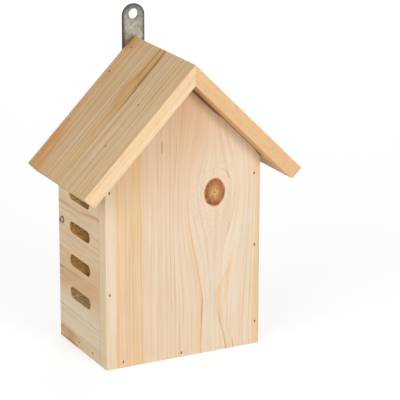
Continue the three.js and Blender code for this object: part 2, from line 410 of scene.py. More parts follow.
class Wiring:
    """The nodes of one material or one shared group, added and joined by calls."""

    def __init__(self, tree: bpy.types.NodeTree) -> None:
        """Start wiring a node tree."""
        self.tree = tree

    def node(
        self, kind: str, inputs: dict[str | int, object] | None = None, **settings: object
    ) -> bpy.types.Node:
        """Add a node.

        Args:
            kind: Its type, without the ShaderNode that all of them start with.
            inputs: A wire or a plain value for each input, by name or number.
            **settings: Its own settings.

        Returns:
            The node.
        """
        made = self.tree.nodes.new(f"ShaderNode{kind}")
        for name, value in settings.items():
            setattr(made, name, value)
        for key, value in (inputs or {}).items():
            self.feed(made.inputs[key], value)
        return made

    def wire(
        self,
        kind: str,
        inputs: dict[str | int, object] | None = None,
        output: str | int = 0,
        **settings: object,
    ) -> Wire:
        """Add a node and give out one of its outputs."""
        return Wire(self, self.node(kind, inputs, **settings).outputs[output])

    def feed(self, socket: bpy.types.NodeSocket, value: object) -> None:
        """Give an input what it takes.

        Args:
            socket: The input.
            value: A wire that is joined to it, or its plain value.
        """
        if isinstance(value, Wire):
            self.tree.links.new(value.socket, socket)
        else:
            socket.default_value = value

    def size(self, value: Wire) -> Wire:
        """A value without its sign."""
        return self.math("ABSOLUTE", value)

    def math(self, operation: str, *values: Number, clamp: bool = False) -> Wire:
        """The result of one sum on one, two or three values."""
        return self.wire("Math", dict(enumerate(values)), operation=operation, use_clamp=clamp)

    def step(self, value: Wire, low: Number, high: Number) -> Wire:
        """A soft step: 0 up to low, 1 from high, and an even bend between them."""
        inputs = {"Value": value, "From Min": low, "From Max": high}
        return self.wire("MapRange", inputs, interpolation_type="SMOOTHSTEP")

    def spread(self, value: Wire, low: float, high: float) -> Wire:
        """A share from 0 to 1 spread over a range."""
        return self.wire("MapRange", {"Value": value, "To Min": low, "To Max": high})

    def mix(self, share: Number, first: object, second: object, blend: str = "MIX") -> Wire:
        """One colour laid over another by a share."""
        inputs = {0: share, 6: first, 7: second}
        return self.wire("Mix", inputs, 2, data_type="RGBA", blend_type=blend)

    def tinted(self, colour: object, tint: object, share: Number = 1.0) -> Wire:
        """A colour darkened by a tint, which leaves it as it is where the tint is white."""
        return self.mix(share, colour, tint, "MULTIPLY")

    def split(self, vector: Wire) -> list[Wire]:
        """The three parts of a vector."""
        return [Wire(self, part) for part in self.node("SeparateXYZ", {0: vector}).outputs]

    def join(self, along: Number, across: Number, deep: Number) -> Wire:
        """A vector of three parts."""
        return self.wire("CombineXYZ", {0: along, 1: across, 2: deep})

    def stretched(self, vector: Wire, scale: tuple[float, float, float], shift: Number = 0.0) -> Wire:
        """A vector scaled along each axis, then shifted the same along all three."""
        scaled = self.wire("VectorMath", {0: vector, 1: scale}, operation="MULTIPLY")
        return self.wire("VectorMath", {0: scaled, 1: self.join(shift, shift, shift)}, operation="ADD")

    def noise(self, vector: Wire, detail: float, roughness: float = 0.5) -> Wire:
        """Soft noise, from 0 to 1, one unit to a lump."""
        inputs = {"Vector": vector, "Scale": 1.0, "Detail": detail, "Roughness": roughness}
        return self.wire("TexNoise", inputs)

    def swing(self, vector: Wire, detail: float) -> Wire:
        """Soft noise about 0, which reaches half a unit either way."""
        return self.noise(vector, detail) - HALF

    def ramp(self, value: Wire, *stops: Stop) -> Wire:
        """A colour picked by a value.

        Args:
            value: The value, from 0 to 1.
            *stops: The place of each colour, and its red, green and blue.

        Returns:
            The colour.
        """
        made = self.node("ValToRGB", {0: value})
        elements = made.color_ramp.elements
        elements.remove(elements[1])
        elements[0].position, elements[0].color = stops[0][0], shade(*stops[0][1:])
        for place, *tint in stops[1:]:
            elements.new(place).color = shade(*tint)
        return Wire(self, made.outputs[0])

    def place(self, group: bpy.types.NodeTree, source: object, **given: Number) -> Masks:
        """Place a shared group.

        Args:
            group: The group.
            source: What has a field for each of the group's inputs that isn't given.
            **given: The inputs that are given.

        Returns:
            Its outputs, by name.
        """
        made = self.node("Group", node_tree=group)
        for socket in made.inputs:
            known = socket.name in given
            self.feed(socket, given[socket.name] if known else getattr(source, socket.name))
        return {socket.name: Wire(self, socket) for socket in made.outputs}

    def millimetres(self) -> Wire:
        """The place on the piece in millimetres, in the part's frame."""
        spot = self.wire("TexCoord", output="Object")
        return self.wire("Mapping", {"Vector": spot, "Scale": PER_MM})

    def surface(
        self, colour: Wire, roughness: Number, height: Wire, bump: tuple[float, float]
    ) -> bpy.types.Node:
        """Lay a finish on the material's own shader.

        Args:
            colour: Its colour.
            roughness: Its roughness.
            height: Its relief.
            bump: How strong the relief is, and how high in millimetres.

        Returns:
            The shader.
        """
        shader = self.tree.nodes["Principled BSDF"]
        relief = self.wire("Bump", {"Strength": bump[0], "Distance": bump[1] * MM, "Height": height})
        for name, value in {"Base Color": colour, "Roughness": roughness, "Normal": relief}.items():
            self.feed(shader.inputs[name], value)
        return shader


def new_material(name: str) -> tuple[bpy.types.Material, Wiring]:
    """Start a material.

    Args:
        name: Its name.

    Returns:
        The material and its wiring.
    """
    made = bpy.data.materials.new(name)
    made.use_nodes = True
    return made, Wiring(made.node_tree)


class Group(Wiring):
    """A shared group with named inputs and outputs, of which one called board is a place in a board."""

    def __init__(self, name: str, inputs: list[str], outputs: list[str]) -> None:
        """Open the group.

        Args:
            name: Its name.
            inputs: The names of its inputs but for board, which it always has.
            outputs: The names of its outputs.
        """
        super().__init__(bpy.data.node_groups.new(name, "ShaderNodeTree"))
        for way, keys in {"INPUT": ["board", *inputs], "OUTPUT": outputs}.items():
            for key in keys:
                kind = "NodeSocketVector" if key == "board" else "NodeSocketFloat"
                self.tree.interface.new_socket(key, in_out=way, socket_type=kind)
        self.inputs = self.tree.nodes.new("NodeGroupInput").outputs
        self.outputs = self.tree.nodes.new("NodeGroupOutput").inputs

    def __getitem__(self, name: str) -> Wire:
        """One of its inputs."""
        return Wire(self, self.inputs[name])

    def give(self, **outputs: Wire) -> bpy.types.NodeTree:
        """Close the group.

        Args:
            **outputs: What each of its outputs gives.

        Returns:
            The group's tree.
        """
        for name, wire in outputs.items():
            self.feed(self.outputs[name], wire)
        return self.tree


@dataclass(frozen=True)
class WoodGroups:
    """The shared groups that every pine finish is made of. Inside them a length is in millimetres, and
    a place is a vector along the grain, across it and down into the board."""

    swell: bpy.types.NodeTree
    rings: bpy.types.NodeTree
    fibre: bpy.types.NodeTree
    streak: bpy.types.NodeTree
    knot: bpy.types.NodeTree

    @classmethod
    def built(cls) -> "WoodGroups":
        """Build every group once."""
        return cls(grain_swell(), growth_rings(), wood_fibre(), grain_streak(), knot_face())


def bell(along: Wire, across: Number) -> Wire:
    """A bell over two offsets, each already a share of its reach: 1 in the middle, 0 far out."""
    return along.wiring.math("EXPONENT", (along**2.0 + across**2.0) * -1.0)


def grain_swell() -> bpy.types.NodeTree:
    """The grain's way round a knot: places near it are drawn in to its middle, so that the lines of
    the grain stand further out from it.

    Returns:
        The group.
    """
    g = Group("grain_swell", ["along", "across", "reach_along", "reach_across", "squeeze"], ["board"])
    along, across, deep = g.split(g["board"])
    off = across - g["across"]
    near = bell((along - g["along"]) / g["reach_along"], (off / g["reach_across"]) ** 2.0)
    kept = off * (1.0 - near * g["squeeze"])
    return g.give(board=g.join(along, kept + g["across"], deep))


def growth_rings() -> bpy.types.NodeTree:
    """Growth rings round a pith that runs along the board: latewood, dark at each ring's outer side
    and broken off sharply there, and a tone of each ring's own.

    Returns:
        The group.
    """
    inputs = ["pith_across", "pith_depth", "ring_width", "wander", "lift", "seed"]
    g = Group("growth_rings", inputs, ["latewood", "tone"])
    slow_scale, quick_scale, fading_scale = (0.006, 0.018, 0.018), (0.02, 0.09, 0.09), 0.012
    slow_share, quick_share, ring_lumps, unevenness = 2.0, 0.35, 0.6, 0.9
    darkening, outer_side = 3.5, 0.93
    along, across, deep = g.split(g["board"])
    radius = g.math("SQRT", (across - g["pith_across"]) ** 2.0 + (deep - g["pith_depth"]) ** 2.0)
    drift = g.swing(g.stretched(g["board"], slow_scale, g["seed"]), 1.0) * (g["wander"] * slow_share)
    ripple = g.swing(g.stretched(g["board"], quick_scale, g["seed"]), 2.0) * (g["wander"] * quick_share)
    even = (radius + g["lift"] + (drift + ripple)) / g["ring_width"]
    turns = even + g.swing(g.join(even * ring_lumps, g["seed"], 0.0), 1.0) * unevenness
    ring = g.math("FLOOR", turns) + g["seed"]
    own = g.node("TexWhiteNoise", {"W": ring}, noise_dimensions="1D").outputs
    fading = g.noise(g.join(along * fading_scale, ring, 0.0), 2.0)
    strength = g.spread(Wire(g, own[0]), 0.25, 1.0) * g.spread(fading, 0.4, 1.5)
    share = g.math("FRACT", turns)
    edge = 1.0 - g.step(share, outer_side, 1.0)
    latewood = g.math("MULTIPLY", share**darkening * edge, strength, clamp=True)
    return g.give(latewood=latewood, tone=g.split(Wire(g, own[1]))[1])


def wood_fibre() -> bpy.types.NodeTree:
    """What runs along the grain: fine fibre, soft lengthwise streaks, and the short dark dashes of
    resin canals.

    Returns:
        The group.
    """
    g = Group("wood_fibre", ["seed"], ["fibre", "streaks", "canals"])
    fibre_scale, streak_scale, canal_scale = (0.03, 2.2, 2.2), (0.007, 0.42, 0.42), (0.14, 2.6, 2.6)
    fibre = g.noise(g.stretched(g["board"], fibre_scale, g["seed"]), 4.0, 0.62)
    streaks = g.noise(g.stretched(g["board"], streak_scale, g["seed"]), 3.0, 0.6)
    canals = g.noise(g.stretched(g["board"], canal_scale, g["seed"]), 1.0)
    return g.give(fibre=fibre, streaks=streaks, canals=g.step(canals, 0.7, 0.8))


def grain_streak() -> bpy.types.NodeTree:
    """One streak along the grain, on a line that may slant, bow and dip, with two sides of its own.

    Returns:
        The group.
    """
    inputs = ["place", "slant", "bow", "width", "fade_low", "fade_high", "dip", "dip_along", "dip_reach"]
    g = Group("grain_streak", inputs + ["start", "end", "run_in", "run_out", "broken"], ["mask"])
    wobble_scale, wobble_reach, gap_along, gap_across = 0.05, 1.6, 0.045, 0.25
    along, across, _ = g.split(g["board"])
    line = g["place"] + along * g["slant"] + along**2.0 * g["bow"]
    line = line + bell((along - g["dip_along"]) / g["dip_reach"], 0.0) * g["dip"]
    wobble = g.swing(g.join(along * wobble_scale, g["place"], 0.0), 3.0)
    off = across - line - wobble * wobble_reach
    rise = g.step(off, g["fade_low"] * -1.0, 0.0)
    fall = g.step(off, g["width"], g["width"] + g["fade_high"])
    enter = g.step(along, g["start"] - g["run_in"], g["start"])
    leave = g.step(along, g["end"], g["end"] + g["run_out"])
    gaps = g.noise(g.join(along * gap_along, across * gap_across, g["place"]), 3.0)
    kept = 1.0 - g.step(gaps, 0.4, 0.62) * g["broken"]
    return g.give(mask=rise * (1.0 - fall) * (enter * (1.0 - leave)) * kept)


def knot_face() -> bpy.types.NodeTree:
    """A knot cut across: its disc, its mottled dark rim, its own fine rings, the golden wood round its
    heart, the heart, the halo round it and how far the grain of the board swirls.

    Returns:
        The group.
    """
    outputs = ["disc", "rim", "rings", "gold", "heart", "halo", "swirl", "mottle", "arcs"]
    g = Group("knot_face", ["along", "across", "half_length", "half_width", "seed"], outputs)
    mottle_scale, lumpiness, tearing, swirl_reach = (3.6, 2.8, 1.0), 0.28, 1.7, 1.8
    lean_across, lean_along = 0.14, 0.06
    groove_lumps, grooves_across, wave_lumps, waves_across = 0.1, 6.5, 0.25, 2.9
    along, across, _ = g.split(g["board"])
    along = (along - g["along"]) / g["half_length"]
    across = (across - g["across"]) / g["half_width"]
    plain = g.math("SQRT", along**2.0 + across**2.0)
    place = g.join(along, across, g["seed"])
    lumps = g.swing(place, 3.0)
    mottle = g.noise(g.stretched(place, mottle_scale), 3.0, 0.65)
    radius = plain + lumps * lumpiness
    torn = radius + (mottle - HALF) * tearing
    lean = across * lean_across + along * lean_along
    disc = 1.0 - g.step(radius, 0.9, 1.08)
    grooves = g.math("FRACT", (radius + lumps * groove_lumps) * grooves_across)
    waves = g.math("FRACT", (radius + lumps * wave_lumps) * waves_across)
    near = g.step(radius, 1.1, 1.5) * (1.0 - g.step(radius, 2.0, 3.0))
    return g.give(
        disc=disc,
        rim=g.step(torn - lean, 0.54, 0.88) * disc,
        rings=g.math("MULTIPLY", grooves**2.0, g.spread(mottle, 0.3, 1.4), clamp=True),
        gold=1.0 - g.step(torn, 0.12, 0.6),
        heart=1.0 - g.step(plain, 0.02, 0.1),
        halo=1.0 - g.step(radius, 0.98, 1.32),
        swirl=bell(along / swirl_reach, across / swirl_reach),
        mottle=mottle,
        arcs=waves**3.0 * (near * g.step(mottle, 0.4, 0.62)),
    )


# Finishes. Lengths in them are millimetres, as in the shared groups.

# What is added to a board's seed for each pattern of its own, how each pattern is stretched along the
# grain, across it and down, and the tints that all boards share
PATCHES, HUES, SPOTS, TEARS = 7.0, 3.0, 5.0, 9.0
PATCH_SCALE, HUE_SCALE, SPOT_SCALE = (0.012, 0.05, 0.05), (0.014, 0.06, 0.06), (0.16, 0.42, 0.42)
HUE_TINTS = (0.34, 255, 251, 247), (0.5, 254, 254, 253), (0.66, 253, 254, 248)
STREAK_TINTS = (0.34, 212, 184, 146), (0.5, 243, 235, 222), (0.64, 255, 255, 252)
FIBRE_TINTS = (0.25, 240, 234, 226), (0.65, *WHITE)
SPOT_TINTS = (0.38, 255, 234, 220), (0.5, 255, 254, 250), (0.62, 250, 252, 214)


@dataclass(frozen=True)
class Grain:
    """How a board lies in its tree: where its figure starts, and which way its grain runs."""

    origin: Vector
    along: Vector
    across: Vector

    def turn(self) -> Matrix:
        """The turn from the part's frame to the board's own."""
        return Matrix((self.along, self.across, self.along.cross(self.across)))

    def place(self, w: Wiring, spot: Wire) -> Wire:
        """A place in the part's frame, in metres, as a place in the board, in millimetres."""
        moved = {"Location": self.turn() @ self.origin / -MM, "Rotation": self.turn().to_euler()}
        return w.wire("Mapping", moved | {"Vector": spot, "Scale": PER_MM}, vector_type="POINT")

    def direction(self, w: Wiring, vector: Wire) -> Wire:
        """A direction in the part's frame as one in the board."""
        inputs = {"Vector": vector, "Rotation": self.turn().to_euler()}
        return w.wire("Mapping", inputs, vector_type="VECTOR")


@dataclass(frozen=True)
class Streak:
    """A streak of another colour along the grain; slanted, it also lays a painted contact shadow."""

    place: float
    width: float
    share: float
    colour: Colour
    fade_low: float = 1.0
    fade_high: float = 1.0
    slant: float = 0.0
    bow: float = 0.0
    start: float = -500.0
    end: float = 500.0
    run_in: float = 12.0
    run_out: float = 12.0
    dip: float = 0.0
    dip_along: float = 0.0
    dip_reach: float = 25.0
    broken: float = 0.0

    def laid(self, w: Wiring, groups: WoodGroups, board: Wire, colour: Wire) -> Wire:
        """The wood's colour with the streak on it."""
        mask = w.place(groups.streak, self, board=board)["mask"]
        return w.mix(mask * self.share, colour, self.colour)


@dataclass(frozen=True)
class Hairlines:
    """Thin straight lines along the grain, side by side: the place, the reach and the tint of each."""

    lines: tuple[tuple[float, float, int, int, int], ...]
    seed: float
    margin: float = 2.0
    wobble: float = 0.03
    gaps: tuple[float, float, float] = (0.02, 0.16, 0.16)
    faintest: float = 0.2

    def laid(self, w: Wiring, board: Wire, colour: Wire) -> Wire:
        """Lay the lines on the wood, broken here and there.

        Args:
            w: The material's wiring.
            board: A place in the board.
            colour: The wood's colour.

        Returns:
            The colour with the lines on it.
        """
        low = self.lines[0][0] - self.margin
        span = self.lines[-1][0] + self.margin - low
        stops = [(0.0, *WHITE)]
        for place, reach, *tint in self.lines:
            middle, half = (place - low) / span, reach / span
            stops += [(middle - half, *WHITE), (middle, *tint), (middle + half, *WHITE)]
        along, across, _ = w.split(board)
        wobble = w.swing(w.join(along * self.wobble, self.seed, 0.0), 2.0)
        share = (across + wobble - low) / span
        gaps = w.step(w.noise(w.stretched(board, self.gaps, self.seed), 2.0), 0.4, 0.6)
        return w.tinted(colour, w.ramp(share, *stops), w.spread(gaps, 1.0, self.faintest))


@dataclass(frozen=True)
class Knot:
    """A knot, and how far the grain swings round it."""

    along: float
    across: float
    half_length: float
    half_width: float
    squeeze: float = 0.8
    reach_along: float = 56.0
    reach_across: float = 30.0
    lift: float = 7.0
    rim_mottling: float = 0.8
    body_mottling: float = 0.9
    gold_share: float = 0.9
    ring_share: float = 0.3
    arc_share: float = 0.5
    halo_share: float = 0.6
    rim: Colour = shade(124, 62, 20)
    body: Colour = shade(178, 122, 72)
    gold: Colour = shade(208, 162, 100)
    heart: Colour = shade(112, 78, 26)
    halo: Colour = shade(236, 190, 150)

    def laid(self, w: Wiring, face: Masks, colour: Wire) -> Wire:
        """Lay the knot into the wood.

        Args:
            w: The material's wiring.
            face: The knot's masks.
            colour: The wood's colour.

        Returns:
            The colour with the knot in it.
        """
        rim = w.mix(w.step(face["mottle"], 0.44, 0.6) * self.rim_mottling, self.rim, self.body)
        body = w.mix(w.step(face["mottle"], 0.38, 0.52) * self.body_mottling, self.rim, self.body)
        body = w.mix(face["gold"] * self.gold_share, body, self.gold)
        body = w.mix(face["rim"], body, rim)
        body = w.mix(face["rings"] * self.ring_share, body, self.rim)
        body = w.mix(face["heart"], body, self.heart)
        colour = w.mix(face["arcs"] * self.arc_share, colour, self.gold)
        colour = w.mix(face["halo"] * self.halo_share, colour, self.halo)
        return w.mix(face["disc"], colour, body)


@dataclass(frozen=True)
class ScorchAndShade:
    """What the cutter's heat and painted shade do to the faces of a wall's slots. They are browned, the
    middle rows most, and each slot is painted with more shade towards its one end."""

    hot: Colour = shade(255, 234, 190)
    hot_end: Colour = shade(176, 144, 118)
    mild: Colour = shade(255, 250, 230)
    mild_shaded_end: Colour = shade(232, 218, 204)
    # Along the board, the painted shade at each slot's one end is full up to end and gone from clear
    end: float = 34.0
    clear: float = 56.0
    lowest_hot: float = 60.0
    highest_hot: float = 117.0
    tear: tuple[float, float, float] = (0.09, 0.8, 0.8)
    torn: tuple[Stop, ...] = ((0.38, 184, 162, 140), (0.5, 240, 237, 230), (0.6, *WHITE))

    def laid(self, w: Wiring, place: Wire, colour: Wire, seed: float) -> Wire:
        """Brown the wood's colour by scorching and with painted shade.

        Args:
            w: The material's wiring.
            place: A place in the board.
            colour: The wood's colour.
            seed: Which patches the wood is torn in.

        Returns:
            The colour of the cut.
        """
        along, across, _ = w.split(place)
        # 0 at the slot's end with painted shade, 1 where it is clear of it
        clear = w.step(along, self.end, self.clear)
        above = w.math("GREATER_THAN", across, self.lowest_hot)
        below = w.math("LESS_THAN", across, self.highest_hot)
        hot = w.mix(clear, self.hot_end, self.hot)
        mild = w.mix(clear, self.mild_shaded_end, self.mild)
        browned_and_shaded = w.tinted(colour, w.mix(above * below, mild, hot))
        tears = w.noise(w.stretched(place, self.tear, seed), 4.0, 0.65)
        return w.tinted(browned_and_shaded, w.ramp(tears, *self.torn))


@dataclass(frozen=True)
class PineFinish:
    """The look of one pine board."""

    name: str
    slot: str
    grain: Grain
    width: float
    tints: tuple[Stop, ...]
    flush: Colour
    cool: Colour
    late: Colour
    sides: Colour
    pith_across: float
    pith_depth: float
    ring_width: float
    wander: float
    seed: float
    ends: Colour = shade(226, 208, 186)
    side_share: float = 0.6
    late_share: float = 0.5
    streaky: float = 0.3
    flush_share: float = 0.5
    cool_share: float = 0.55
    tone_share: float = 0.36
    canal_share: float = 0.3
    worn: float = 0.35
    roughness: tuple[float, float] = (0.5, 0.72)
    late_gloss: float = 0.08
    end_dulling: float = 0.15
    late_height: float = 0.5
    canal_depth: float = 0.6
    bump: tuple[float, float] = (0.5, 0.12)
    specular: float = 0.32
    knots: tuple[Knot, ...] = ()
    hairlines: tuple[Hairlines, ...] = ()
    streaks: tuple[Streak, ...] = ()

    def material(self, groups: WoodGroups, scorch_and_shade: ScorchAndShade | None = None) -> bpy.types.Material:
        """Make the material.

        Args:
            groups: The shared groups.
            scorch_and_shade: What a cutter's heat and painted shade do to the colour, for the faces of a
                cut.

        Returns:
            The material of the board's faces, or of a cut's.
        """
        made, w = new_material(self.name + ("_cut" if scorch_and_shade else ""))
        still = self.grain.place(w, w.wire("TexCoord", output="Object"))
        facing = w.split(self.grain.direction(w, w.wire("TexCoord", output="Normal")))
        faces = [w.place(groups.knot, knot, board=still, seed=self.seed) for knot in self.knots]
        board, lift = still, 0.0
        for knot, face in zip(self.knots, faces):
            board = w.place(groups.swell, knot, board=board)["board"]
            lift = face["swirl"] * knot.lift + lift
        fibre = w.place(groups.fibre, self, board=board)
        rings = w.place(groups.rings, self, board=board, lift=lift)
        colour = self._wood(w, board, rings, fibre)
        for hairlines in self.hairlines:
            colour = hairlines.laid(w, board, colour)
        for streak in self.streaks:
            colour = streak.laid(w, groups, board, colour)
        for knot, face in zip(self.knots, faces):
            colour = knot.laid(w, face, colour)
        end = w.step(w.size(facing[0]), 0.5, 0.8)
        colour = self._edged(w, still, facing, end, colour)
        # The faces of a cut are browned by scorching and darkened with painted shade
        if scorch_and_shade:
            colour = scorch_and_shade.laid(w, still, colour, self.seed + TEARS)
        rough = w.spread(fibre["fibre"], *self.roughness) - rings["latewood"] * self.late_gloss
        height = fibre["fibre"] + rings["latewood"] * self.late_height - fibre["canals"] * self.canal_depth
        shader = w.surface(colour, rough + end * self.end_dulling, height, self.bump)
        shader.inputs["Specular IOR Level"].default_value = self.specular
        return made

    def _wood(self, w: Wiring, board: Wire, rings: Masks, fibre: Masks) -> Wire:
        """The clear wood: its tint across the board, and its rings and fibre.

        Args:
            w: The material's wiring.
            board: A place in the board, as the grain takes it.
            rings: The masks of the growth rings.
            fibre: The masks of what runs along the grain.

        Returns:
            The colour.
        """
        colour = w.ramp(w.split(board)[1] / self.width, *self.tints)
        patches = w.noise(w.stretched(board, PATCH_SCALE, self.seed + PATCHES), 2.0)
        colour = w.mix(w.step(patches, 0.46, 0.74) * self.flush_share, colour, self.flush)
        cooled = w.math("SUBTRACT", self.cool_share, w.step(patches, 0.3, 0.52), clamp=True)
        colour = w.mix(cooled, colour, self.cool)
        hues = w.noise(w.stretched(board, HUE_SCALE, self.seed + HUES), 2.0, 0.6)
        colour = w.tinted(colour, w.ramp(hues, *HUE_TINTS))
        colour = w.mix(rings["tone"] * (self.tone_share * self.late_share), colour, self.late)
        colour = w.mix(rings["latewood"] * self.late_share, colour, self.late)
        colour = w.tinted(colour, w.ramp(fibre["streaks"], *STREAK_TINTS), self.streaky)
        colour = w.tinted(colour, w.ramp(fibre["fibre"], *FIBRE_TINTS))
        return w.mix(fibre["canals"] * self.canal_share, colour, self.late)

    def _edged(self, w: Wiring, still: Wire, facing: list[Wire], end: Wire, colour: Wire) -> Wire:
        """Turn to the board's edges, its end grain and its worn arrises.

        Args:
            w: The material's wiring.
            still: A place in the board.
            facing: The way that the surface looks, in the board's own directions.
            end: Where the end grain is.
            colour: The colour of the wood's broad faces.

        Returns:
            The colour all over.
        """
        side = w.step(w.size(facing[1]), 0.5, 0.9)
        spots = w.noise(w.stretched(still, SPOT_SCALE, self.seed + SPOTS), 3.0, 0.6)
        mottled = w.tinted(self.sides, w.ramp(spots, *SPOT_TINTS))
        colour = w.mix(side * self.side_share, colour, mottled)
        colour = w.mix(end, colour, w.tinted(colour, self.ends))
        arris = w.wire("Attribute", output="Fac", attribute_name="arris")
        return w.mix(arris * self.worn, colour, self.sides)


@dataclass(frozen=True)
class PocketFinish:
    """The torn wood inside a brad's hole, dark from crushed fibres and from painted shade."""

    name: str = "brad_pocket"
    dark: Colour = shade(112, 78, 48)
    light: Colour = shade(176, 132, 88)
    roughness: float = 0.9
    lumps: tuple[float, float, float] = (2.5, 2.5, 2.5)
    bump: tuple[float, float] = (0.6, 0.1)

    def material(self) -> bpy.types.Material:
        """Make the material.

        Returns:
            The material.
        """
        made, w = new_material(self.name)
        torn = w.noise(w.stretched(w.millimetres(), self.lumps), 3.0, 0.6)
        colour = w.mix(w.step(torn, 0.35, 0.65), self.dark, self.light)
        w.surface(colour, self.roughness, torn, self.bump)
        return made


@dataclass(frozen=True)
class BurrAndReflection:
    """Where a round-topped strip is darker, along its outline and over its top: partly its stamped burr,
    and partly a painted dark reflection.
    """

    colour: Colour
    half_width: float
    top_middle: float
    reach: float
    top_start: float
    share: float

    def mask(self, w: Wiring, place: Wire, specks: Wire) -> Wire:
        """How dark a place on the strip is.

        Args:
            w: The material's wiring.
            place: A place in the part's frame, in millimetres.
            specks: Fine noise, which frays the dark parts.

        Returns:
            The mask.
        """
        across, _, up = w.split(place)
        over = w.math("MAXIMUM", up - self.top_middle, 0.0)
        inset = self.half_width - w.math("SQRT", across**2.0 + over**2.0)
        rim = 1.0 - w.step(inset + (specks - HALF) * self.reach, 0.0, self.reach)
        top = w.step(up, self.top_start, self.top_middle + self.half_width)
        return w.math("MAXIMUM", rim, top * w.step(specks, 0.3, 0.6)) * self.share


@dataclass(frozen=True)
class MetalFinish:
    """The look of a metal: cells of a grey, as zinc freezes in, under fine specks."""

    name: str
    slot: str
    dark: Colour
    light: Colour
    roughness: tuple[float, float]
    cell: float
    speck: float
    metallic: float = 1.0
    smudges: tuple[float, float, float] = (0.12, 0.12, 0.12)
    cell_share: float = 0.35
    smudge_share: float = 0.4
    speck_share: float = 0.9
    speck_floor: float = 0.35
    cell_height: float = 0.6
    bump: tuple[float, float] = (0.4, 0.02)
    burr_and_reflection: BurrAndReflection | None = None

    def material(self) -> bpy.types.Material:
        """Make the material.

        Returns:
            The material.
        """
        made, w = new_material(self.name)
        place = w.millimetres()
        cells = w.wire("TexVoronoi", {"Vector": place, "Scale": 1 / self.cell}, "Color")
        grey = w.split(cells)[0]
        specks = w.noise(w.stretched(place, (1 / self.speck,) * 3), 3.0, 0.6)
        smudge = w.noise(w.stretched(place, self.smudges), 2.0)
        broad = grey * self.cell_share + smudge * self.smudge_share
        share = w.math("ADD", broad, (specks - self.speck_floor) * self.speck_share, clamp=True)
        colour = w.mix(share, self.dark, self.light)
        # The strip's darker outline and top: partly its burr, partly a painted dark reflection
        if self.burr_and_reflection:
            colour = w.mix(self.burr_and_reflection.mask(w, place, specks), colour, self.burr_and_reflection.colour)
        height = grey * self.cell_height + specks
        shader = w.surface(colour, w.spread(share, *self.roughness), height, self.bump)
        shader.inputs["Metallic"].default_value = self.metallic
        return made


# Fasteners


@dataclass(frozen=True)
class BradRow:
    """A row of brads: its nodes' name, how many, the way they face and the two boards they join."""

    name: str
    count: int
    turn: Turn
    boards: tuple[str, str]

    def nodes(self) -> list[str]:
        """The names of the row's nodes."""
        return [f"{self.name}_{number}" for number in range(1, self.count + 1)]


BRAD_ROWS = (
    BradRow("brad_front_left", 2, Turn.FRONT, ("front_panel", "left_wall")),
    BradRow("brad_front_right", 3, Turn.FRONT, ("front_panel", "right_wall")),
    BradRow("brad_front_floor", 2, Turn.FRONT, ("front_panel", "floor_board")),
    BradRow("brad_left_floor", 2, Turn.LEFT, ("left_wall", "floor_board")),
    BradRow("brad_right_floor", 2, Turn.RIGHT, ("right_wall", "floor_board")),
    BradRow("brad_roof_left_panel", 2, Turn.ROOF_LEFT, ("roof_left", "front_panel")),
    BradRow("brad_roof_left_gable", 2, Turn.ROOF_LEFT, ("roof_left", "back_gable")),
    BradRow("brad_roof_right_panel", 2, Turn.ROOF_RIGHT, ("roof_right", "front_panel")),
    BradRow("brad_roof_right_gable", 2, Turn.ROOF_RIGHT, ("roof_right", "back_gable")),
    BradRow("brad_ridge_left", 1, Turn.ROOF_LEFT, ("roof_left", "roof_right")),
    BradRow("brad_ridge_right", 1, Turn.ROOF_RIGHT, ("roof_left", "roof_right")),
)


def copied(model: Piece, name: str, place: Matrix) -> Piece:
    """A copy of a piece with a mesh of its own, moved to a place.

    Args:
        model: The piece that is copied, at the origin.
        name: The copy's name.
        place: Where it goes.

    Returns:
        The copy, with its object at the origin.
    """
    piece = model.copy()
    piece.data = model.data.copy()
    piece.name = piece.data.name = name
    bpy.context.scene.collection.objects.link(piece)
    piece.matrix_world = place
    bpy.context.view_layer.update()
    return settle(piece)


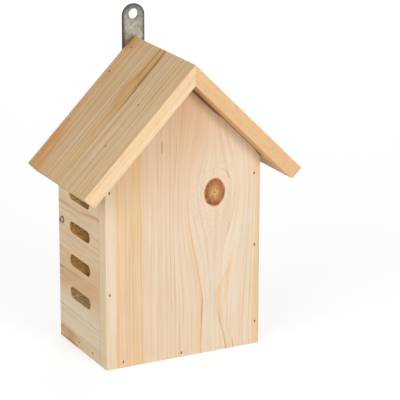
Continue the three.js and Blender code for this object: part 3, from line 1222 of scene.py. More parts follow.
@dataclass
class Nails:
    """The brads, with flat T heads set below the surface, and the holes that they sit in."""

    head_width: float = 2.0 * MM
    head_height: float = 0.8 * MM
    width: float = 1.2 * MM
    thick: float = 1.1 * MM
    length: float = 25.0 * MM
    point: float = 1.4 * MM
    sharpness: float = 0.1
    gap: float = 0.07 * MM
    overrun: float = 2.0 * MM
    easing: float = 0.1 * MM

    def __post_init__(self) -> None:
        """Model one brad and one hole, which are then copied."""
        self.brad = self._tee("brad_model", 0.0, 0.0)
        ease(self.brad, self.easing, 2)
        smooth(self.brad)
        self.hole = coat(self._tee("brad_hole_model", self.gap, self.overrun), PocketFinish().material())

    def _tee(self, name: str, gap: float, top: float) -> Piece:
        """A T-headed brad with its head's top at zero, or its hole.

        Args:
            name: The piece's name.
            gap: How much wider it is on every side.
            top: How high it reaches above the head's top.

        Returns:
            The closed piece.
        """
        half = Vector((self.head_width / 2 + gap, self.thick / 2 + gap, 0))
        low = Vector((-half.x, -half.y, -self.head_height - gap))
        piece = block(name, low, Vector((half.x, half.y, top)))
        slim = (self.width / 2 + gap) / half.x
        flat = (self.thick / 2 + gap - self.easing / 4) / half.y
        push_face(piece, DOWN, 0.0, Vector((slim, flat, 1)))
        push_face(piece, DOWN, self.length - self.head_height - self.point, Vector((1, 1, 1)))
        push_face(piece, DOWN, self.point, Vector((self.sharpness, 1, 1)))
        return piece

    def holes(self, board: str) -> list[Piece]:
        """The cutters for the holes of the brads that go into a board.

        Args:
            board: The board's node.

        Returns:
            The cutters.
        """
        rows = [row for row in BRAD_ROWS if board in row.boards]
        nodes = [(node, row.turn) for row in rows for node in row.nodes()]
        return [copied(self.hole, f"{board}_{node}_hole", seat(node, turn)) for node, turn in nodes]

    def build(self, finish: MetalFinish) -> list[Piece]:
        """Set every brad and put the models away.

        Args:
            finish: The brads' finish.

        Returns:
            The brads.
        """
        coat(self.brad, finish.material())
        made = []
        for row in BRAD_ROWS:
            for node in row.nodes():
                piece = copied(self.brad, node.replace("brad", "nail"), seat(node, row.turn))
                made.append(framed(piece, "house", node))
        bpy.data.objects.remove(self.brad)
        bpy.data.objects.remove(self.hole)
        return made


def framed(piece: Piece, body: str, node: str) -> Piece:
    """Put a finished piece in the frame.

    Args:
        piece: The piece, in place.
        body: The body that it rides on.
        node: The node that it stands for.

    Returns:
        The same piece.
    """
    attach(piece, body)
    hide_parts(node)
    return piece


@dataclass(frozen=True)
class Screw:
    """A pan-head wood screw with a cross recess. Its head's top is at zero, and it points down."""

    length: float
    head_radius: float = 3.1 * MM
    head_height: float = 2.3 * MM
    shank_radius: float = 1.75 * MM
    core_radius: float = 1.25 * MM
    pitch: float = 1.35 * MM
    neck: float = 1.0 * MM
    point: float = 3.0 * MM
    tip_radius: float = 0.12 * MM
    recess_length: float = 3.5 * MM
    recess_width: float = 0.95 * MM
    recess_depth: float = 1.5 * MM
    recess_taper: float = 0.72
    thread_rise: float = 0.4
    thread_crest: float = 0.5
    rim_inset: float = 0.97
    rim_height: float = 0.06
    dome_foot: float = 0.22
    dome_rise: float = 0.78
    dome_bend: float = 0.62
    dome_steps: int = 9
    crown: float = 0.04
    sides: int = 48

    def profile(self) -> list[tuple[float, float]]:
        """The outline that the screw is turned to.

        Returns:
            Radius and height at each step, from its tip up.
        """
        under = -self.head_height
        tip = under - self.length
        points = [(self.tip_radius, tip), (self.core_radius, tip + self.point)]
        height = tip + self.point
        while height + self.pitch < under - self.neck:
            points += [
                (self.shank_radius, height + self.pitch * self.thread_rise),
                (self.shank_radius, height + self.pitch * self.thread_crest),
                (self.core_radius, height + self.pitch),
            ]
            height += self.pitch
        points += [(self.shank_radius, under - self.neck / 2), (self.shank_radius, under)]
        points.append((self.head_radius * self.rim_inset, under))
        points.append((self.head_radius, under + self.head_height * self.rim_height))
        for step in range(1, self.dome_steps):
            angle = RIGHT_ANGLE * step / self.dome_steps
            rise = self.dome_foot + self.dome_rise * math.sin(angle)
            out = math.cos(angle) ** self.dome_bend
            points.append((self.head_radius * out, under + self.head_height * rise))
        points.append((self.head_radius * self.crown, 0.0))
        return points

    def modelled(self, name: str) -> Piece:
        """Model the screw.

        Args:
            name: The piece's name.

        Returns:
            The screw.
        """
        piece = turned(name, self.profile(), self.sides)
        arms = (self.recess_length, self.recess_width), (self.recess_width, self.recess_length)
        for length, width in arms:
            low = Vector((-length / 2, -width / 2, -self.recess_depth / 2))
            arm = block("recess", low, Vector((length / 2, width / 2, self.recess_depth)))
            taper = Vector((self.recess_taper, self.recess_taper, 1))
            push_face(arm, DOWN, self.recess_depth / 2, taper)
            cut(piece, [arm])
        pick(piece)
        bpy.ops.object.shade_smooth_by_angle(angle=THREAD_ANGLE)
        return piece


def driven(screw: Screw, body: str, finish: MetalFinish, places: dict[str, Matrix]) -> list[Piece]:
    """Model a screw once and drive a copy of it in at each place.

    Args:
        screw: The screw.
        body: The body that it rides on.
        finish: Its finish.
        places: Where each screw sits, by its node.

    Returns:
        The screws.
    """
    model = coat(screw.modelled("pan_screw_model"), finish.material())
    made = []
    for node, place in places.items():
        piece = copied(model, node.replace("screw", "pan_screw"), place)
        made.append(framed(piece, body, node))
    bpy.data.objects.remove(model)
    return made


# Boards


@dataclass
class Board:
    """One board: its node, its finish and how its edges are eased."""

    node: str
    finish: PineFinish
    groups: WoodGroups
    body: str = "house"
    easing: float = 0.45 * MM
    steps: int = 2
    broad: float = 60.0 * MM * MM

    def squared(self) -> Piece:
        """The board as a squared block over its node's box."""
        low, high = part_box(self.node)
        return self.coated(block(f"{self.node}_board", low, high))

    def coated(self, piece: Piece) -> Piece:
        """Give the board's block its wood."""
        return coat(piece, self.finish.material(self.groups))

    def finished(self, piece: Piece, joint: tuple[Vector, Vector] | None = None) -> Piece:
        """Ease the board's edges, mark them and put it in the frame.

        Args:
            piece: The board, cut to shape.
            joint: A point and the outward normal of an end that is sawn after the easing, so that its
                edges stay sharp.

        Returns:
            The same piece.
        """
        ease(piece, self.easing, self.steps)
        if joint:
            saw(piece, *joint)
        smooth(piece)
        self._mark_arrises(piece)
        return framed(piece, self.body, self.node)

    def _mark_arrises(self, piece: Piece) -> None:
        """Mark the rounded edges: every face that none of the broad faces is level with.

        Args:
            piece: The board.
        """
        level = math.cos(LEVEL_ANGLE)
        broad = [polygon.normal.copy() for polygon in piece.data.polygons if polygon.area > self.broad]
        mark = piece.data.attributes.new("arris", "FLOAT", "FACE")
        for index, polygon in enumerate(piece.data.polygons):
            mark.data[index].value = float(all(normal.dot(polygon.normal) < level for normal in broad))


def slope_out(side: int) -> Vector:
    """The way that the roof looks on a side: -1 is the left and 1 the right."""
    return Vector((side * math.sin(ROOF_PITCH), 0, math.cos(ROOF_PITCH)))


@dataclass
class Box:
    """The fixed boards under the roof: front, walls, floor and gable."""

    groups: WoodGroups
    nails: Nails
    slot_count: int = 4
    slot_length: float = 39.5 * MM
    slot_height: float = 9.8 * MM
    slot_spacing: float = 28.6 * MM
    lowest_slot: float = 46.2 * MM
    slots_behind_front: float = 30.5 * MM
    slot_steps: int = 14
    overrun: float = 2.0 * MM
    corner: float = 1.1 * MM
    corner_steps: int = 4
    eased: float = 0.8 * MM
    eased_steps: int = 2
    screw_hole: float = 2.0 * MM
    scorch_and_shade: ScorchAndShade = ScorchAndShade()

    def front(self, finish: PineFinish) -> Piece:
        """The front panel: a board in one piece, pointed to the roof.

        Args:
            finish: Its finish.

        Returns:
            The panel.
        """
        board = Board("front_panel", finish, self.groups)
        piece = self._pointed(board)
        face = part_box(board.node)[0].y

        def in_front(place: Vector) -> bool:
            """Whether a place lies in the panel's front face."""
            return place.y < face + LIP

        round_edges(piece, UP, self.corner, self.corner_steps, in_front)
        for side in (-1, 1):
            round_edges(piece, Vector((side, 0, 1)).normalized(), self.eased, self.eased_steps, in_front)
        cut(piece, self.nails.holes(board.node))
        return board.finished(piece)

    def gable(self, finish: PineFinish, screws: list[Matrix], hole_depth: float) -> Piece:
        """The fixed upper part of the back, bored for the strip's screws.

        Args:
            finish: Its finish.
            screws: Where the strip's screws sit.
            hole_depth: How deep it is bored for them.

        Returns:
            The gable board.
        """
        board = Board("back_gable", finish, self.groups)
        piece = self._pointed(board)
        bores = [bore("strip_bore", place, self.screw_hole, hole_depth) for place in screws]
        cut(piece, self.nails.holes(board.node) + bores)
        return board.finished(piece)

    def floor(self, finish: PineFinish) -> Piece:
        """The floor, let in between the walls.

        Args:
            finish: Its finish.

        Returns:
            The floor board.
        """
        board = Board("floor_board", finish, self.groups)
        piece = board.squared()
        cut(piece, self.nails.holes(board.node))
        return board.finished(piece)

    def wall(self, side: int, finish: PineFinish, pivot: Matrix) -> Piece:
        """A side wall: bevelled to the roof, slotted, and bored for the door's screw.

        Args:
            side: -1 for the left wall and 1 for the right one.
            finish: Its finish.
            pivot: Where the door's screw goes in.

        Returns:
            The wall.
        """
        board = Board("left_wall" if side < 0 else "right_wall", finish, self.groups)
        low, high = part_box(board.node)
        piece = board.squared()
        inner = high.x if side < 0 else low.x
        saw(piece, Vector((inner, 0, high.z)), slope_out(side))
        scorched_and_shaded = finish.material(self.groups, self.scorch_and_shade)
        cutters = [self._slot(row, low, high, scorched_and_shaded) for row in range(self.slot_count)]
        bores = [bore("pivot_bore", pivot, self.screw_hole, high.x - low.x + self.overrun)]
        cut(piece, cutters + bores + self.nails.holes(board.node))
        return board.finished(piece)

    def _pointed(self, board: Board) -> Piece:
        """A board over its node's box, with its top sawn to the roof's two slopes.

        Args:
            board: The board.

        Returns:
            Its block.
        """
        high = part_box(board.node)[1]
        piece = board.squared()
        for side in (-1, 1):
            saw(piece, Vector((0, 0, high.z)), slope_out(side))
        return piece

    def _slot(self, row: int, low: Vector, high: Vector, scorched_and_shaded: bpy.types.Material) -> Piece:
        """The cutter of one slot: a bar with round ends, right through a wall.

        Args:
            row: Which slot, from the lowest.
            low: The wall's lowest corner.
            high: The wall's highest corner.
            scorched_and_shaded: The finish of the faces that it leaves, scorched and with painted shade.

        Returns:
            The cutter.
        """
        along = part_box("front_panel")[0].y + self.slots_behind_front + self.slot_length / 2
        middle = Vector(((low.x + high.x) / 2, along, self.lowest_slot + row * self.slot_spacing))
        half = Vector(((high.x - low.x) / 2 + self.overrun, self.slot_length / 2, self.slot_height / 2))
        bar = block(f"slot_{row}", middle - half, middle + half)
        round_edges(bar, RIGHTWARD, self.slot_height / 2, self.slot_steps, lambda place: True)
        return coat(bar, scorched_and_shaded)


def bore(name: str, place: Matrix, radius: float, depth: float) -> Piece:
    """The cutter of a round hole.

    Args:
        name: The cutter's name.
        place: A frame at the hole's mouth, or above it, with its Z out of the hole.
        radius: The hole's radius.
        depth: How far it goes below that place.

    Returns:
        The cutter.
    """
    bpy.ops.object.select_all(action="DESELECT")
    above, sides = 4.0 * MM, 40
    bpy.ops.mesh.primitive_cylinder_add(
        vertices=sides, radius=radius, depth=depth + above, location=(0, 0, (above - depth) / 2)
    )
    piece = settle(added(name))
    piece.matrix_world = place
    bpy.context.view_layer.update()
    return settle(piece)


def round_edges(
    piece: Piece, axis: Vector, radius: float, steps: int, chosen: Callable[[Vector], bool]
) -> None:
    """Round the edges of a piece that run along an axis.

    Args:
        piece: The piece.
        axis: The direction of the edges.
        radius: How far the rounding reaches onto each face.
        steps: How many facets it has.
        chosen: Whether an edge that ends at a place is rounded.
    """
    vertices = piece.data.vertices

    def runs_along(edge: bpy.types.MeshEdge) -> bool:
        """Whether an edge runs along the axis, and both its ends are in the chosen part."""
        first, last = (vertices[index].co for index in edge.vertices)
        return abs((last - first).normalized().dot(axis)) > PARALLEL and chosen(first) and chosen(last)

    choose(piece, "EDGE", runs_along)
    bpy.ops.mesh.bevel(offset=radius, segments=steps, affect="EDGES", clamp_overlap=True)
    bpy.ops.mesh.select_all(action="SELECT")
    bpy.ops.mesh.remove_doubles(threshold=WELD)
    close_shaping()


@dataclass
class Roof:
    """The two roof boards, mitred at the ridge."""

    groups: WoodGroups
    nails: Nails
    joint_gap: float = 0.04 * MM
    eave_radius: float = 1.8 * MM
    eave_steps: int = 4

    def board(self, side: int, finish: PineFinish) -> Piece:
        """One roof board.

        Args:
            side: -1 for the left board and 1 for the right one.
            finish: Its finish.

        Returns:
            The board.
        """
        board = Board("roof_left" if side < 0 else "roof_right", finish, self.groups)
        low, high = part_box(board.node)
        ridge_x = high.x if side < 0 else low.x
        eave_x = low.x if side < 0 else high.x
        eave_z = high.z - abs(eave_x - ridge_x) * math.tan(ROOF_PITCH)
        thick = (eave_z - low.z) / math.cos(ROOF_PITCH)
        out = slope_out(side)
        ridge = Vector((ridge_x, (low.y + high.y) / 2, high.z))
        eave = Vector((eave_x, ridge.y, eave_z))
        beyond = (ridge - eave).normalized() * thick
        middle = (ridge + beyond + eave - out * thick) / 2
        bpy.ops.object.select_all(action="DESELECT")
        bpy.ops.mesh.primitive_cube_add(size=1, location=middle, rotation=(0, side * ROOF_PITCH, 0))
        piece = board.coated(added(f"{board.node}_board"))
        piece.scale = ((ridge + beyond - eave).length, high.y - low.y, thick)
        settle(piece)
        lip = low.z + LIP
        round_edges(piece, BACKWARD, self.eave_radius, self.eave_steps, lambda place: place.z < lip)
        cut(piece, self.nails.holes(board.node))
        return board.finished(piece, (Vector((side * self.joint_gap / 2, 0, 0)), Vector((-side, 0, 0))))


@dataclass
class Door:
    """The back door, which swings on a screw at each side."""

    groups: WoodGroups
    screw: Screw = Screw(28.0 * MM)
    pivot_hole: float = 1.9 * MM
    bore_spare: float = 3.0 * MM

    def pivots(self) -> dict[str, Matrix]:
        """Where the pivot screws sit, the left one first."""
        sides = {"pivot_screw_left": Turn.LEFT, "pivot_screw_right": Turn.RIGHT}
        return {node: seat(node, turn) for node, turn in sides.items()}

    def board(self, finish: PineFinish) -> Piece:
        """The door's board, bored in both edges.

        Args:
            finish: Its finish.

        Returns:
            The board.
        """
        board = Board("back_door", finish, self.groups, body="door")
        piece = board.squared()
        depth = self.screw.length + self.bore_spare
        cut(piece, [bore("door_bore", place, self.pivot_hole, depth) for place in self.pivots().values()])
        return board.finished(piece)


@dataclass
class Hanger:
    """The steel strip behind the ridge and its two screws."""

    screw: Screw = Screw(10.0 * MM)
    hook_hole: float = 4.3 * MM
    hook_drop: float = 8.5 * MM
    hook_bore: float = 4.0 * MM
    screw_hole: float = 2.0 * MM
    screw_bore: float = 6.0 * MM
    bore_spare: float = 4.0 * MM
    corner_steps: int = 28
    easing: float = 0.2 * MM
    easing_steps: int = 2
    level: float = 0.9

    def places(self) -> dict[str, Matrix]:
        """Where the strip's screws sit."""
        return {node: seat(node, Turn.BACK) for node in ("strip_screw_1", "strip_screw_2")}

    def gable_bore(self) -> float:
        """How deep the gable is bored for the strip's screws."""
        return self.screw.length + self.bore_spare

    def strip(self, face: MetalFinish, edge: MetalFinish) -> Piece:
        """The strip: round at its top, pierced for the hook and the screws.

        Args:
            face: The finish of its faces.
            edge: The finish of its sheared edges, dark from their burr and from a painted dark reflection.

        Returns:
            The strip.
        """
        low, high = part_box("hanging_strip")
        piece = coat(block("galvanised_strip", low, high), face.material(), edge.material())
        width = high.x - low.x
        half = (low.z + high.z) / 2
        round_edges(piece, BACKWARD, width / 2 - WELD, self.corner_steps, lambda place: place.z > half)
        mouth = facing(Vector((0, high.y, high.z - self.hook_drop)), Turn.BACK)
        holes = [bore("hook_bore", mouth, self.hook_hole, self.hook_bore)]
        for place in self.places().values():
            holes.append(bore("strip_hole", place, self.screw_hole, self.screw_bore))
        cut(piece, holes)
        ease(piece, self.easing, self.easing_steps)
        smooth(piece)
        for polygon in piece.data.polygons:
            polygon.material_index = 0 if abs(polygon.normal.y) > self.level else 1
        return framed(piece, "house", "hanging_strip")


# Studio


@dataclass(frozen=True)
class Lamp:
    """A square soft light."""

    name: str
    place: tuple[float, float, float]
    size: float
    power: float

    def hung(self) -> None:
        """Hang the lamp, aimed at the middle of the house."""
        place = Vector(self.place)
        bpy.ops.object.light_add(type="AREA", location=place)
        lamp = bpy.context.active_object
        lamp.name = self.name
        lamp.data.size = self.size
        lamp.data.energy = self.power
        middle = sum(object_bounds(), Vector()) / 2
        lamp.rotation_mode = "QUATERNION"
        lamp.rotation_quaternion = (middle - place).to_track_quat("-Z", "Y")


def looking(w: Wiring) -> Wire:
    """1 for a ray that shows the surroundings to the camera or in a gloss, 0 for one that lights."""
    camera, glossy = (w.wire("LightPath", output=f"Is {kind} Ray") for kind in ("Camera", "Glossy"))
    return w.math("MAXIMUM", camera, glossy)


@dataclass
class Studio:
    """A plain pale floor, soft light and the camera."""

    camera_place: tuple[float, float, float] = (-0.74334, -1.50225, 0.65792)
    camera_aim: tuple[float, float, float] = (0.43799, 0.84627, -0.30332)
    camera_roll: float = math.radians(0.177)
    lens: float = 192.62
    floor_size: float = 30.0
    floor_colour: Colour = shade(236, 236, 236)
    shown_colour: Colour = shade(188, 188, 188)
    shown_glow: float = 0.62
    ambient: float = 0.4
    white: Colour = shade(*WHITE)
    lamps: tuple[Lamp, ...] = (
        Lamp("key_light", (0.42, -2.05, 0.66), 0.76, 24.0),
        Lamp("fill_light", (-1.5, -0.75, 0.85), 1.2, 13.8),
        Lamp("back_light", (1.3, 1.7, 0.9), 1.5, 16.0),
    )

    def camera(self) -> None:
        """The camera, where the photographer stood."""
        bpy.ops.object.camera_add(location=self.camera_place)
        camera = bpy.context.active_object
        camera.name = "studio_camera"
        camera.data.lens = self.lens
        camera.rotation_mode = "QUATERNION"
        roll = Quaternion((0, 0, 1), self.camera_roll)
        camera.rotation_quaternion = Vector(self.camera_aim).to_track_quat("-Z", "Y") @ roll
        bpy.context.scene.camera = camera

    def world(self) -> None:
        """A white room to look at, and an even pale light from it."""
        world = bpy.context.scene.world or bpy.data.worlds.new("studio_world")
        bpy.context.scene.world = world
        world.use_nodes = True
        world.node_tree.nodes.clear()
        w = Wiring(world.node_tree)
        seen = w.math("MAXIMUM", looking(w), w.wire("LightPath", output="Is Transmission Ray"))
        light = w.wire("Background", {"Color": self.white, "Strength": self.ambient})
        view = w.wire("Background", {"Color": self.white, "Strength": 1.0})
        w.node("OutputWorld", {"Surface": w.wire("MixShader", {0: seen, 1: light, 2: view})})

    def floor(self) -> None:
        """The floor, which keeps the house's shadow and is white to the camera around it."""
        bpy.ops.object.select_all(action="DESELECT")
        bpy.ops.mesh.primitive_plane_add(size=self.floor_size)
        piece = settle(added("studio_floor"))
        made, w = new_material("studio_floor")
        made.node_tree.nodes.clear()
        plain = w.wire("BsdfDiffuse", {"Color": self.floor_colour})
        soft = w.wire("BsdfDiffuse", {"Color": self.shown_colour})
        glow = w.wire("Emission", {"Color": self.white, "Strength": self.shown_glow})
        bright = w.wire("AddShader", {0: soft, 1: glow})
        lit = w.wire("MixShader", {0: looking(w), 1: plain, 2: bright})
        behind = w.wire("NewGeometry", output="Backfacing")
        shown = w.wire("MixShader", {0: behind, 1: lit, 2: w.wire("BsdfTransparent")})
        w.node("OutputMaterial", {"Surface": shown})
        coat(piece, made)
        piece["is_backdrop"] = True

    def build(self) -> None:
        """Set the studio up."""
        bpy.context.scene.view_settings.view_transform = "Standard"
        self.camera()
        self.world()
        self.floor()
        for lamp in self.lamps:
            lamp.hung()


# The boards' own figures, in millimetres from where each board's grain starts

ROW_FRONT = -38.125
ROW_REAR = 53.875
HALF_HOUSE = 70.0
HOUSE_WIDTH = 2 * HALF_HOUSE
WALL_HEIGHT = 176.0
BOARD_DEPTH = 92.0
RIDGE_HEIGHT = 251.47

HONEY = shade(222, 172, 116)
TAWNY = shade(196, 146, 92)
ORANGE = shade(206, 146, 86)
BROWN = shade(176, 120, 70)
YELLOW = shade(222, 184, 124)
UMBER = shade(132, 92, 52)
# A painted contact shadow, where the roof boards meet the front panel
PAINTED_CONTACT_SHADOW = shade(112, 68, 24)
RED_LINE = shade(204, 132, 98)
RED_BAND = shade(192, 132, 72)
ROOF_UMBER = shade(148, 102, 46)
RUST = shade(208, 143, 64)
GOLD = shade(206, 150, 76)

LEFT_FRONT = Vector((-HALF_HOUSE, ROW_FRONT, 0)) * MM
RIGHT_REAR = Vector((HALF_HOUSE, ROW_REAR, 0)) * MM

# How the front panel's lines dip below its knot, and how the left wall's lowest bands rise
FLAME = {"dip": -11.0, "dip_along": 46.0, "dip_reach": 31.0}
OUTER = {"dip": 1.5, "dip_along": 46.0, "dip_reach": 22.0}
RISING = {"slant": 0.22, "bow": -0.0014}

# The front panel has flame figure that opens round one knot, with honey bands to its left, and painted
# shade towards its top and along its roof edges
FRONT_PINE = PineFinish(
    name="pine_front_panel",
    slot="pine_front",
    grain=Grain(LEFT_FRONT, UP, RIGHTWARD),
    width=HOUSE_WIDTH,
    tints=(
        (0.0, 229, 212, 188), (0.055, 229, 209, 184), (0.065, 227, 202, 172), (0.14, 227, 201, 172),
        (0.165, 227, 200, 164), (0.215, 227, 201, 166), (0.25, 228, 209, 186), (0.5, 227, 209, 188),
        (0.57, 228, 208, 182), (0.62, 227, 212, 193), (0.78, 228, 213, 194), (0.94, 228, 212, 192),
        (0.96, 228, 203, 168), (1.0, 222, 195, 160),
    ),
    flush=shade(230, 207, 186),
    cool=shade(229, 212, 188),
    late=shade(214, 176, 130),
    sides=shade(230, 209, 176),
    late_share=0.16,
    pith_across=98.0,
    pith_depth=-25.0,
    ring_width=5.2,
    wander=1.0,
    seed=3.0,
    knots=(Knot(137.8, 97.8, 12.1, 9.5),),
    hairlines=(
        Hairlines(
            (
                (8.6, 0.5, 252, 244, 228), (10.8, 1.2, 250, 238, 214), (20.8, 0.8, 244, 232, 208),
                (24.4, 0.7, 249, 237, 212), (28.5, 0.7, 240, 225, 198), (31.4, 1.2, 249, 235, 208),
            ),
            2.0,
        ),
        Hairlines(
            (
                (46.2, 0.8, 244, 230, 208), (50.0, 1.4, 250, 240, 222), (54.6, 0.7, 242, 228, 206),
                (58.3, 1.0, 246, 230, 202), (62.6, 0.7, 236, 222, 198), (66.4, 0.8, 246, 234, 214),
                (70.2, 0.8, 240, 224, 200),
            ),
            5.0,
        ),
        Hairlines(
            (
                (121.4, 0.7, 244, 228, 204), (124.4, 0.7, 240, 224, 198), (130.6, 0.9, 246, 228, 198),
                (134.4, 0.8, 242, 220, 184),
            ),
            8.0,
        ),
    ),
    streaks=(
        # These two broad tawny streaks darken the panel towards the roof: painted shade under the
        # overhang, and partly a warmer tone of the wood
        Streak(8.0, 76.0, 0.3, TAWNY, 8.0, 30.0, start=186.0, run_in=80.0),
        Streak(70.0, 70.0, 0.24, TAWNY, 30.0, 30.0, start=206.0, run_in=50.0),
        Streak(9.4, 24.0, 0.12, HONEY, 0.8, end=150.0, run_out=60.0),
        Streak(85.2, 0.7, 0.54, HONEY, 3.6, 0.6, end=86.0, run_out=34.0, **OUTER),
        Streak(85.6, 0.3, 0.62, ORANGE, 1.2, 0.5, end=118.0, run_out=20.0, broken=0.5, **OUTER),
        Streak(85.8, 0.1, 0.8, UMBER, 0.35, 0.3, start=32.0, end=46.0, run_in=6.0, run_out=6.0, **OUTER),
        Streak(85.7, 0.1, 0.7, UMBER, 0.2, 0.2, start=127.0, end=134.0, run_in=4.0, run_out=5.0),
        Streak(89.6, 0.4, 0.3, HONEY, 0.7, 0.8, start=158.0, end=196.0, run_in=16.0),
        Streak(108.4, 1.6, 0.4, YELLOW, 1.2, 1.4, start=68.0, end=70.0, run_in=10.0, run_out=24.0),
        Streak(
            109.0, 1.2, 0.34, HONEY, 1.0, 1.4, start=56.0, end=68.0, run_out=22.0,
            dip=-9.6, dip_along=48.0, dip_reach=17.0,
        ),
        Streak(110.4, 3.4, 0.46, HONEY, 0.7, 1.6, start=32.0, end=52.0, run_out=8.0, **FLAME),
        Streak(110.0, 0.5, 0.42, BROWN, 0.6, end=28.0, **FLAME),
        Streak(110.2, 0.1, 0.7, UMBER, 0.4, 0.5, end=3.0, run_out=6.0, **FLAME),
        # Painted contact shadow along the right roof board's underside
        Streak(
            303.4, 4.0, 0.8, PAINTED_CONTACT_SHADOW, 0.6, slant=-1.0, start=150.0,
            dip=-1.7, dip_along=160.0, dip_reach=42.0,
        ),
        # Painted contact shadow along the left roof board's underside
        Streak(-167.5, 3.6, 0.8, PAINTED_CONTACT_SHADOW, 1.0, 0.6, slant=1.0, start=150.0),
        Streak(106.9, 1.6, 0.38, HONEY, 1.0, 0.9, slant=0.01, start=46.0, end=62.0, run_out=9.0),
        Streak(111.4, 0.4, 0.32, HONEY, 0.6, 0.7, slant=-0.05, start=16.0, end=36.0),
        Streak(108.6, 3.4, 0.5, HONEY, 0.6, 1.2, end=3.0, run_out=7.0),
        Streak(115.4, 0.3, 0.7, BROWN, 0.4, 0.5, slant=-0.12, end=3.0, run_out=9.0),
        Streak(
            100.3, 0.1, 0.6, UMBER, 0.2, 0.2, slant=0.03, start=104.0, end=108.0, run_in=3.0, run_out=3.0
        ),
        Streak(
            119.1, 0.1, 0.7, BROWN, 0.2, 0.25, slant=-0.12, start=149.0, end=154.0, run_in=3.0, run_out=4.0
        ),
        Streak(107.4, 0.3, 0.3, HONEY, 0.5, 0.6, start=112.0, broken=0.4),
        Streak(132.6, 9.0, 0.22, YELLOW, 0.9, end=28.0, run_out=16.0),
        Streak(65.3, 0.15, 0.6, BROWN, 0.5, 0.5, start=155.0, end=178.0),
        Streak(50.2, 0.4, 0.8, BROWN, 0.6, 0.6, start=179.0, end=184.0, run_in=4.0, run_out=4.0),
    ),
)

# The left wall is pale wood whose broad lines run level along it and wander
LEFT_PINE = PineFinish(
    name="pine_left_wall",
    slot="pine_side",
    grain=Grain(LEFT_FRONT, BACKWARD, UP),
    width=WALL_HEIGHT,
    tints=(
        (0.0, 238, 215, 184), (0.07, 236, 223, 197), (0.2, 235, 223, 199), (0.25, 233, 207, 172),
        (0.34, 229, 196, 156), (0.45, 232, 203, 164), (0.49, 237, 214, 178), (0.58, 235, 209, 174),
        (0.64, 240, 218, 188), (0.69, 231, 203, 170), (0.74, 239, 216, 182), (1.0, 237, 211, 176),
    ),
    flush=shade(229, 200, 164),
    cool=shade(218, 213, 188),
    late=shade(199, 157, 113),
    sides=shade(246, 226, 196),
    late_share=0.2,
    pith_across=60.0,
    pith_depth=-40.0,
    ring_width=11.0,
    wander=5.0,
    seed=11.0,
    streaks=(
        Streak(120.2, 0.8, 0.6, RED_LINE, 1.4, 0.9, end=38.0, dip=3.9, dip_along=14.0, dip_reach=26.0),
        Streak(119.6, 1.4, 0.5, TAWNY, 2.2, 1.4, start=50.0, run_in=14.0, broken=0.3),
        Streak(
            104.6, 0.3, 0.42, BROWN, 0.8, 0.9, slant=0.09, broken=0.4,
            dip=4.7, dip_along=65.0, dip_reach=17.0,
        ),
        Streak(51.0, 11.0, 0.34, TAWNY, 5.0, 1.2, start=40.0, run_in=40.0, broken=0.4),
        Streak(64.6, 0.3, 0.6, UMBER, 1.0, 0.6, slant=-0.02, start=60.0, run_in=20.0, broken=0.3),
        Streak(66.0, 0.3, 0.2, BROWN, 3.0, 0.8, slant=-0.02, broken=0.4),
        Streak(28.0, 0.4, 0.34, BROWN, 1.0, 0.8, slant=0.02, broken=0.5),
        Streak(88.0, 0.4, 0.3, BROWN, 2.0, 0.8, slant=0.02, broken=0.7),
        Streak(-19.0, 20.0, 0.3, YELLOW, 1.0, 0.8, **RISING),
        Streak(-18.0, 19.0, 0.66, RED_BAND, 3.0, 2.0, start=66.0, broken=0.5, **RISING),
        Streak(0.4, 0.2, 0.55, BROWN, 1.0, 0.6, start=56.0, broken=0.3, **RISING),
        Streak(-8.0, 9.2, 0.6, UMBER, start=62.0, end=84.0, run_in=10.0, broken=0.3),
    ),
)

# The right wall is the left one's kind of board, with a small knot
RIGHT_PINE = PineFinish(
    name="pine_right_wall",
    slot="pine_side",
    grain=Grain(RIGHT_REAR, FORWARD, UP),
    width=WALL_HEIGHT,
    tints=(
        (0.0, 232, 206, 170), (0.3, 230, 200, 160), (0.5, 234, 210, 178), (0.8, 228, 198, 156),
        (1.0, 234, 210, 176),
    ),
    flush=shade(226, 196, 158),
    cool=shade(222, 214, 184),
    late=shade(200, 152, 100),
    sides=shade(238, 218, 188),
    late_share=0.4,
    streaky=0.5,
    pith_across=96.0,
    pith_depth=-32.0,
    ring_width=8.0,
    wander=4.0,
    seed=23.0,
    knots=(Knot(20.0, 22.0, 4.2, 3.4, 0.6, 26.0, 14.0, 5.0),),
    streaks=(Streak(88.0, 2.0, 0.4, BROWN, 2.0, slant=0.04),),
)

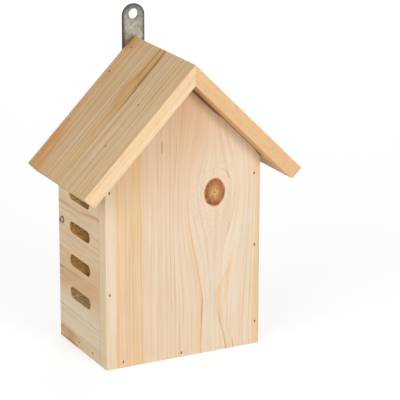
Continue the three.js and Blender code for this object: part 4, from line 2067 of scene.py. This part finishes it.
# Each roof board has straight fine lines down the slope, and the left one a dark double streak
ROOF_LEFT_PINE = PineFinish(
    name="pine_roof_left",
    slot="pine_roof",
    grain=Grain(Vector((0, ROW_FRONT, RIDGE_HEIGHT)) * MM, Turn.ROOF_LEFT.value[1], BACKWARD),
    width=BOARD_DEPTH,
    tints=(
        (0.0, 236, 208, 168), (0.3, 234, 208, 172), (0.46, 236, 208, 168), (0.6, 234, 205, 170),
        (0.8, 232, 200, 161), (0.92, 230, 192, 147), (1.0, 224, 184, 139),
    ),
    flush=shade(226, 194, 149),
    cool=shade(223, 208, 172),
    late=shade(196, 149, 95),
    sides=shade(229, 203, 175),
    ends=shade(255, 250, 242),
    late_share=0.3,
    streaky=0.7,
    pith_across=140.0,
    pith_depth=30.0,
    ring_width=3.6,
    wander=1.4,
    seed=31.0,
    streaks=(
        Streak(31.6, 9.6, 0.62, GOLD, 0.8, 1.2, slant=-0.03, end=46.0, run_out=40.0, broken=0.2),
        Streak(
            37.0, 5.0, 0.6, GOLD, 4.0, 2.4, start=30.0, end=54.0, run_out=14.0, broken=0.3,
            dip=6.5, dip_along=44.0, dip_reach=15.0,
        ),
        Streak(31.9, 1.1, 0.92, ROOF_UMBER, 0.6, 1.3, slant=-0.055, end=48.0, run_out=22.0, broken=0.25),
        Streak(30.2, 2.2, 0.6, ROOF_UMBER, 0.5, 2.0, slant=0.02, start=14.0, end=34.0, broken=0.4),
        Streak(40.5, 0.8, 0.95, ROOF_UMBER, 1.0, 0.6, slant=0.02, end=24.0, run_out=14.0, broken=0.2),
        Streak(38.2, 0.5, 0.6, ROOF_UMBER, 0.8, 0.8, start=64.0, end=86.0, broken=0.3),
        Streak(31.0, 6.0, 0.32, GOLD, 2.0, 2.0, slant=0.01, start=60.0, run_in=30.0, broken=0.4),
        Streak(5.0, 0.2, 0.4, ROOF_UMBER, 0.5, 0.5, slant=-0.02, broken=0.9),
        Streak(20.0, 0.2, 0.4, ROOF_UMBER, 0.4, 0.8, slant=0.03, broken=0.8),
        Streak(14.0, 0.2, 0.4, ROOF_UMBER, 0.5, 0.5, slant=0.03, start=22.0, end=46.0, broken=0.5),
        Streak(81.0, 6.0, 0.5, RUST, 3.0, 3.0, start=36.0, end=46.0, run_out=10.0, broken=0.5),
        Streak(95.0, 14.0, 0.6, RUST, 4.0, 3.0, slant=-0.17, start=106.0, run_in=22.0, broken=0.4),
        Streak(84.0, 8.0, 0.5, RUST, 3.0, end=8.0, run_out=14.0, broken=0.4),
        Streak(89.6, 2.4, 0.8, ROOF_UMBER, 0.8, end=5.0, run_out=10.0),
    ),
)
ROOF_RIGHT_PINE = PineFinish(
    name="pine_roof_right",
    slot="pine_roof",
    grain=Grain(Vector((0, ROW_REAR, RIDGE_HEIGHT)) * MM, Turn.ROOF_RIGHT.value[1], FORWARD),
    width=112.0,
    tints=((0.0, 236, 204, 160), (0.4, 238, 206, 164), (0.7, 236, 200, 154), (1.0, 238, 194, 142)),
    flush=shade(224, 192, 146),
    cool=shade(220, 208, 172),
    late=shade(200, 146, 88),
    sides=shade(213, 177, 138),
    ends=shade(255, 250, 242),
    side_share=0.88,
    late_share=0.4,
    streaky=0.7,
    pith_across=-30.0,
    pith_depth=36.0,
    ring_width=4.2,
    wander=1.8,
    seed=43.0,
    streaks=(Streak(58.0, 2.0, 0.5, ORANGE, 1.0, 3.0, slant=0.03),),
)

# The floor is plain wood whose grain runs across the house
FLOOR_PINE = PineFinish(
    name="pine_floor",
    slot="pine_floor",
    grain=Grain(LEFT_FRONT, RIGHTWARD, BACKWARD),
    width=BOARD_DEPTH,
    tints=((0.0, 232, 202, 160), (0.5, 236, 208, 170), (1.0, 230, 198, 154)),
    flush=shade(224, 192, 150),
    cool=shade(222, 210, 176),
    late=shade(198, 148, 94),
    sides=shade(238, 212, 176),
    pith_across=30.0,
    pith_depth=34.0,
    ring_width=5.0,
    wander=2.5,
    seed=57.0,
)

# The fixed part of the back and the door are from two lengths of the same wood, and the door has a
# small knot low down
GABLE_PINE = PineFinish(
    name="pine_gable",
    slot="pine_back",
    grain=Grain(RIGHT_REAR, UP, LEFTWARD),
    width=HOUSE_WIDTH,
    tints=((0.0, 236, 206, 166), (0.4, 238, 212, 178), (1.0, 234, 202, 160)),
    flush=FRONT_PINE.flush,
    cool=FRONT_PINE.cool,
    late=HONEY,
    sides=shade(240, 216, 184),
    pith_across=60.0,
    pith_depth=30.0,
    ring_width=6.0,
    wander=2.5,
    seed=61.0,
)
DOOR_PINE = replace(
    GABLE_PINE,
    name="pine_door",
    tints=((0.0, 238, 208, 168), (0.3, 236, 202, 160), (0.7, 240, 214, 182), (1.0, 236, 206, 166)),
    late_share=0.6,
    pith_across=88.0,
    pith_depth=-22.0,
    ring_width=6.5,
    seed=71.0,
    knots=(Knot(34.0, 92.0, 6.5, 5.2, 0.65, 36.0, 24.0, 6.0),),
)

GALVANISED = MetalFinish(
    name="galvanised_face",
    slot="galvanised_steel",
    dark=shade(88, 85, 78),
    light=shade(184, 180, 168),
    roughness=(0.5, 0.36),
    cell=1.6,
    speck=0.45,
    bump=(0.4, 0.05),
    burr_and_reflection=BurrAndReflection(
        colour=shade(60, 57, 50), half_width=10.0, top_middle=268.5, reach=3.6, top_start=258.0, share=0.92
    ),
)
# The strip's sheared edges: dark partly from the stamped burr and partly as a painted dark reflection
SHEARED_WITH_REFLECTION = MetalFinish(
    name="sheared_edge_with_reflection",
    slot="galvanised_steel",
    dark=shade(46, 43, 39),
    light=shade(92, 88, 80),
    roughness=(0.5, 0.4),
    cell=0.6,
    speck=0.3,
)
ZINC = MetalFinish(
    name="zinc_screw",
    slot="zinc_screw",
    dark=shade(104, 103, 92),
    light=shade(172, 171, 158),
    roughness=(0.42, 0.3),
    cell=0.7,
    speck=0.3,
)
BRAD_STEEL = MetalFinish(
    name="brad_steel",
    slot="brad_steel",
    dark=shade(92, 66, 42),
    light=shade(142, 112, 80),
    roughness=(0.65, 0.5),
    metallic=0.2,
    cell=0.4,
    speck=0.2,
)


def main() -> None:
    """Build the house piece by piece, then the studio."""
    logging.basicConfig(level=logging.INFO, format="%(message)s")
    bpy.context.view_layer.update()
    groups = WoodGroups.built()
    nails = Nails()
    door = Door(groups)
    hanger = Hanger()
    box = Box(groups, nails)
    roof = Roof(groups, nails)
    pivots = list(door.pivots().values())
    pieces = [
        box.front(FRONT_PINE),
        box.wall(-1, LEFT_PINE, pivots[0]),
        box.wall(1, RIGHT_PINE, pivots[1]),
        box.floor(FLOOR_PINE),
        box.gable(GABLE_PINE, list(hanger.places().values()), hanger.gable_bore()),
        roof.board(-1, ROOF_LEFT_PINE),
        roof.board(1, ROOF_RIGHT_PINE),
        door.board(DOOR_PINE),
        *driven(door.screw, "door", ZINC, door.pivots()),
        hanger.strip(GALVANISED, SHEARED_WITH_REFLECTION),
        *driven(hanger.screw, "house", ZINC, hanger.places()),
        *nails.build(BRAD_STEEL),
    ]
    for piece in pieces:
        log.info("%s: %d faces", piece.name, len(piece.data.polygons))
    Studio().build()


if __name__ == "__main__":
    main()
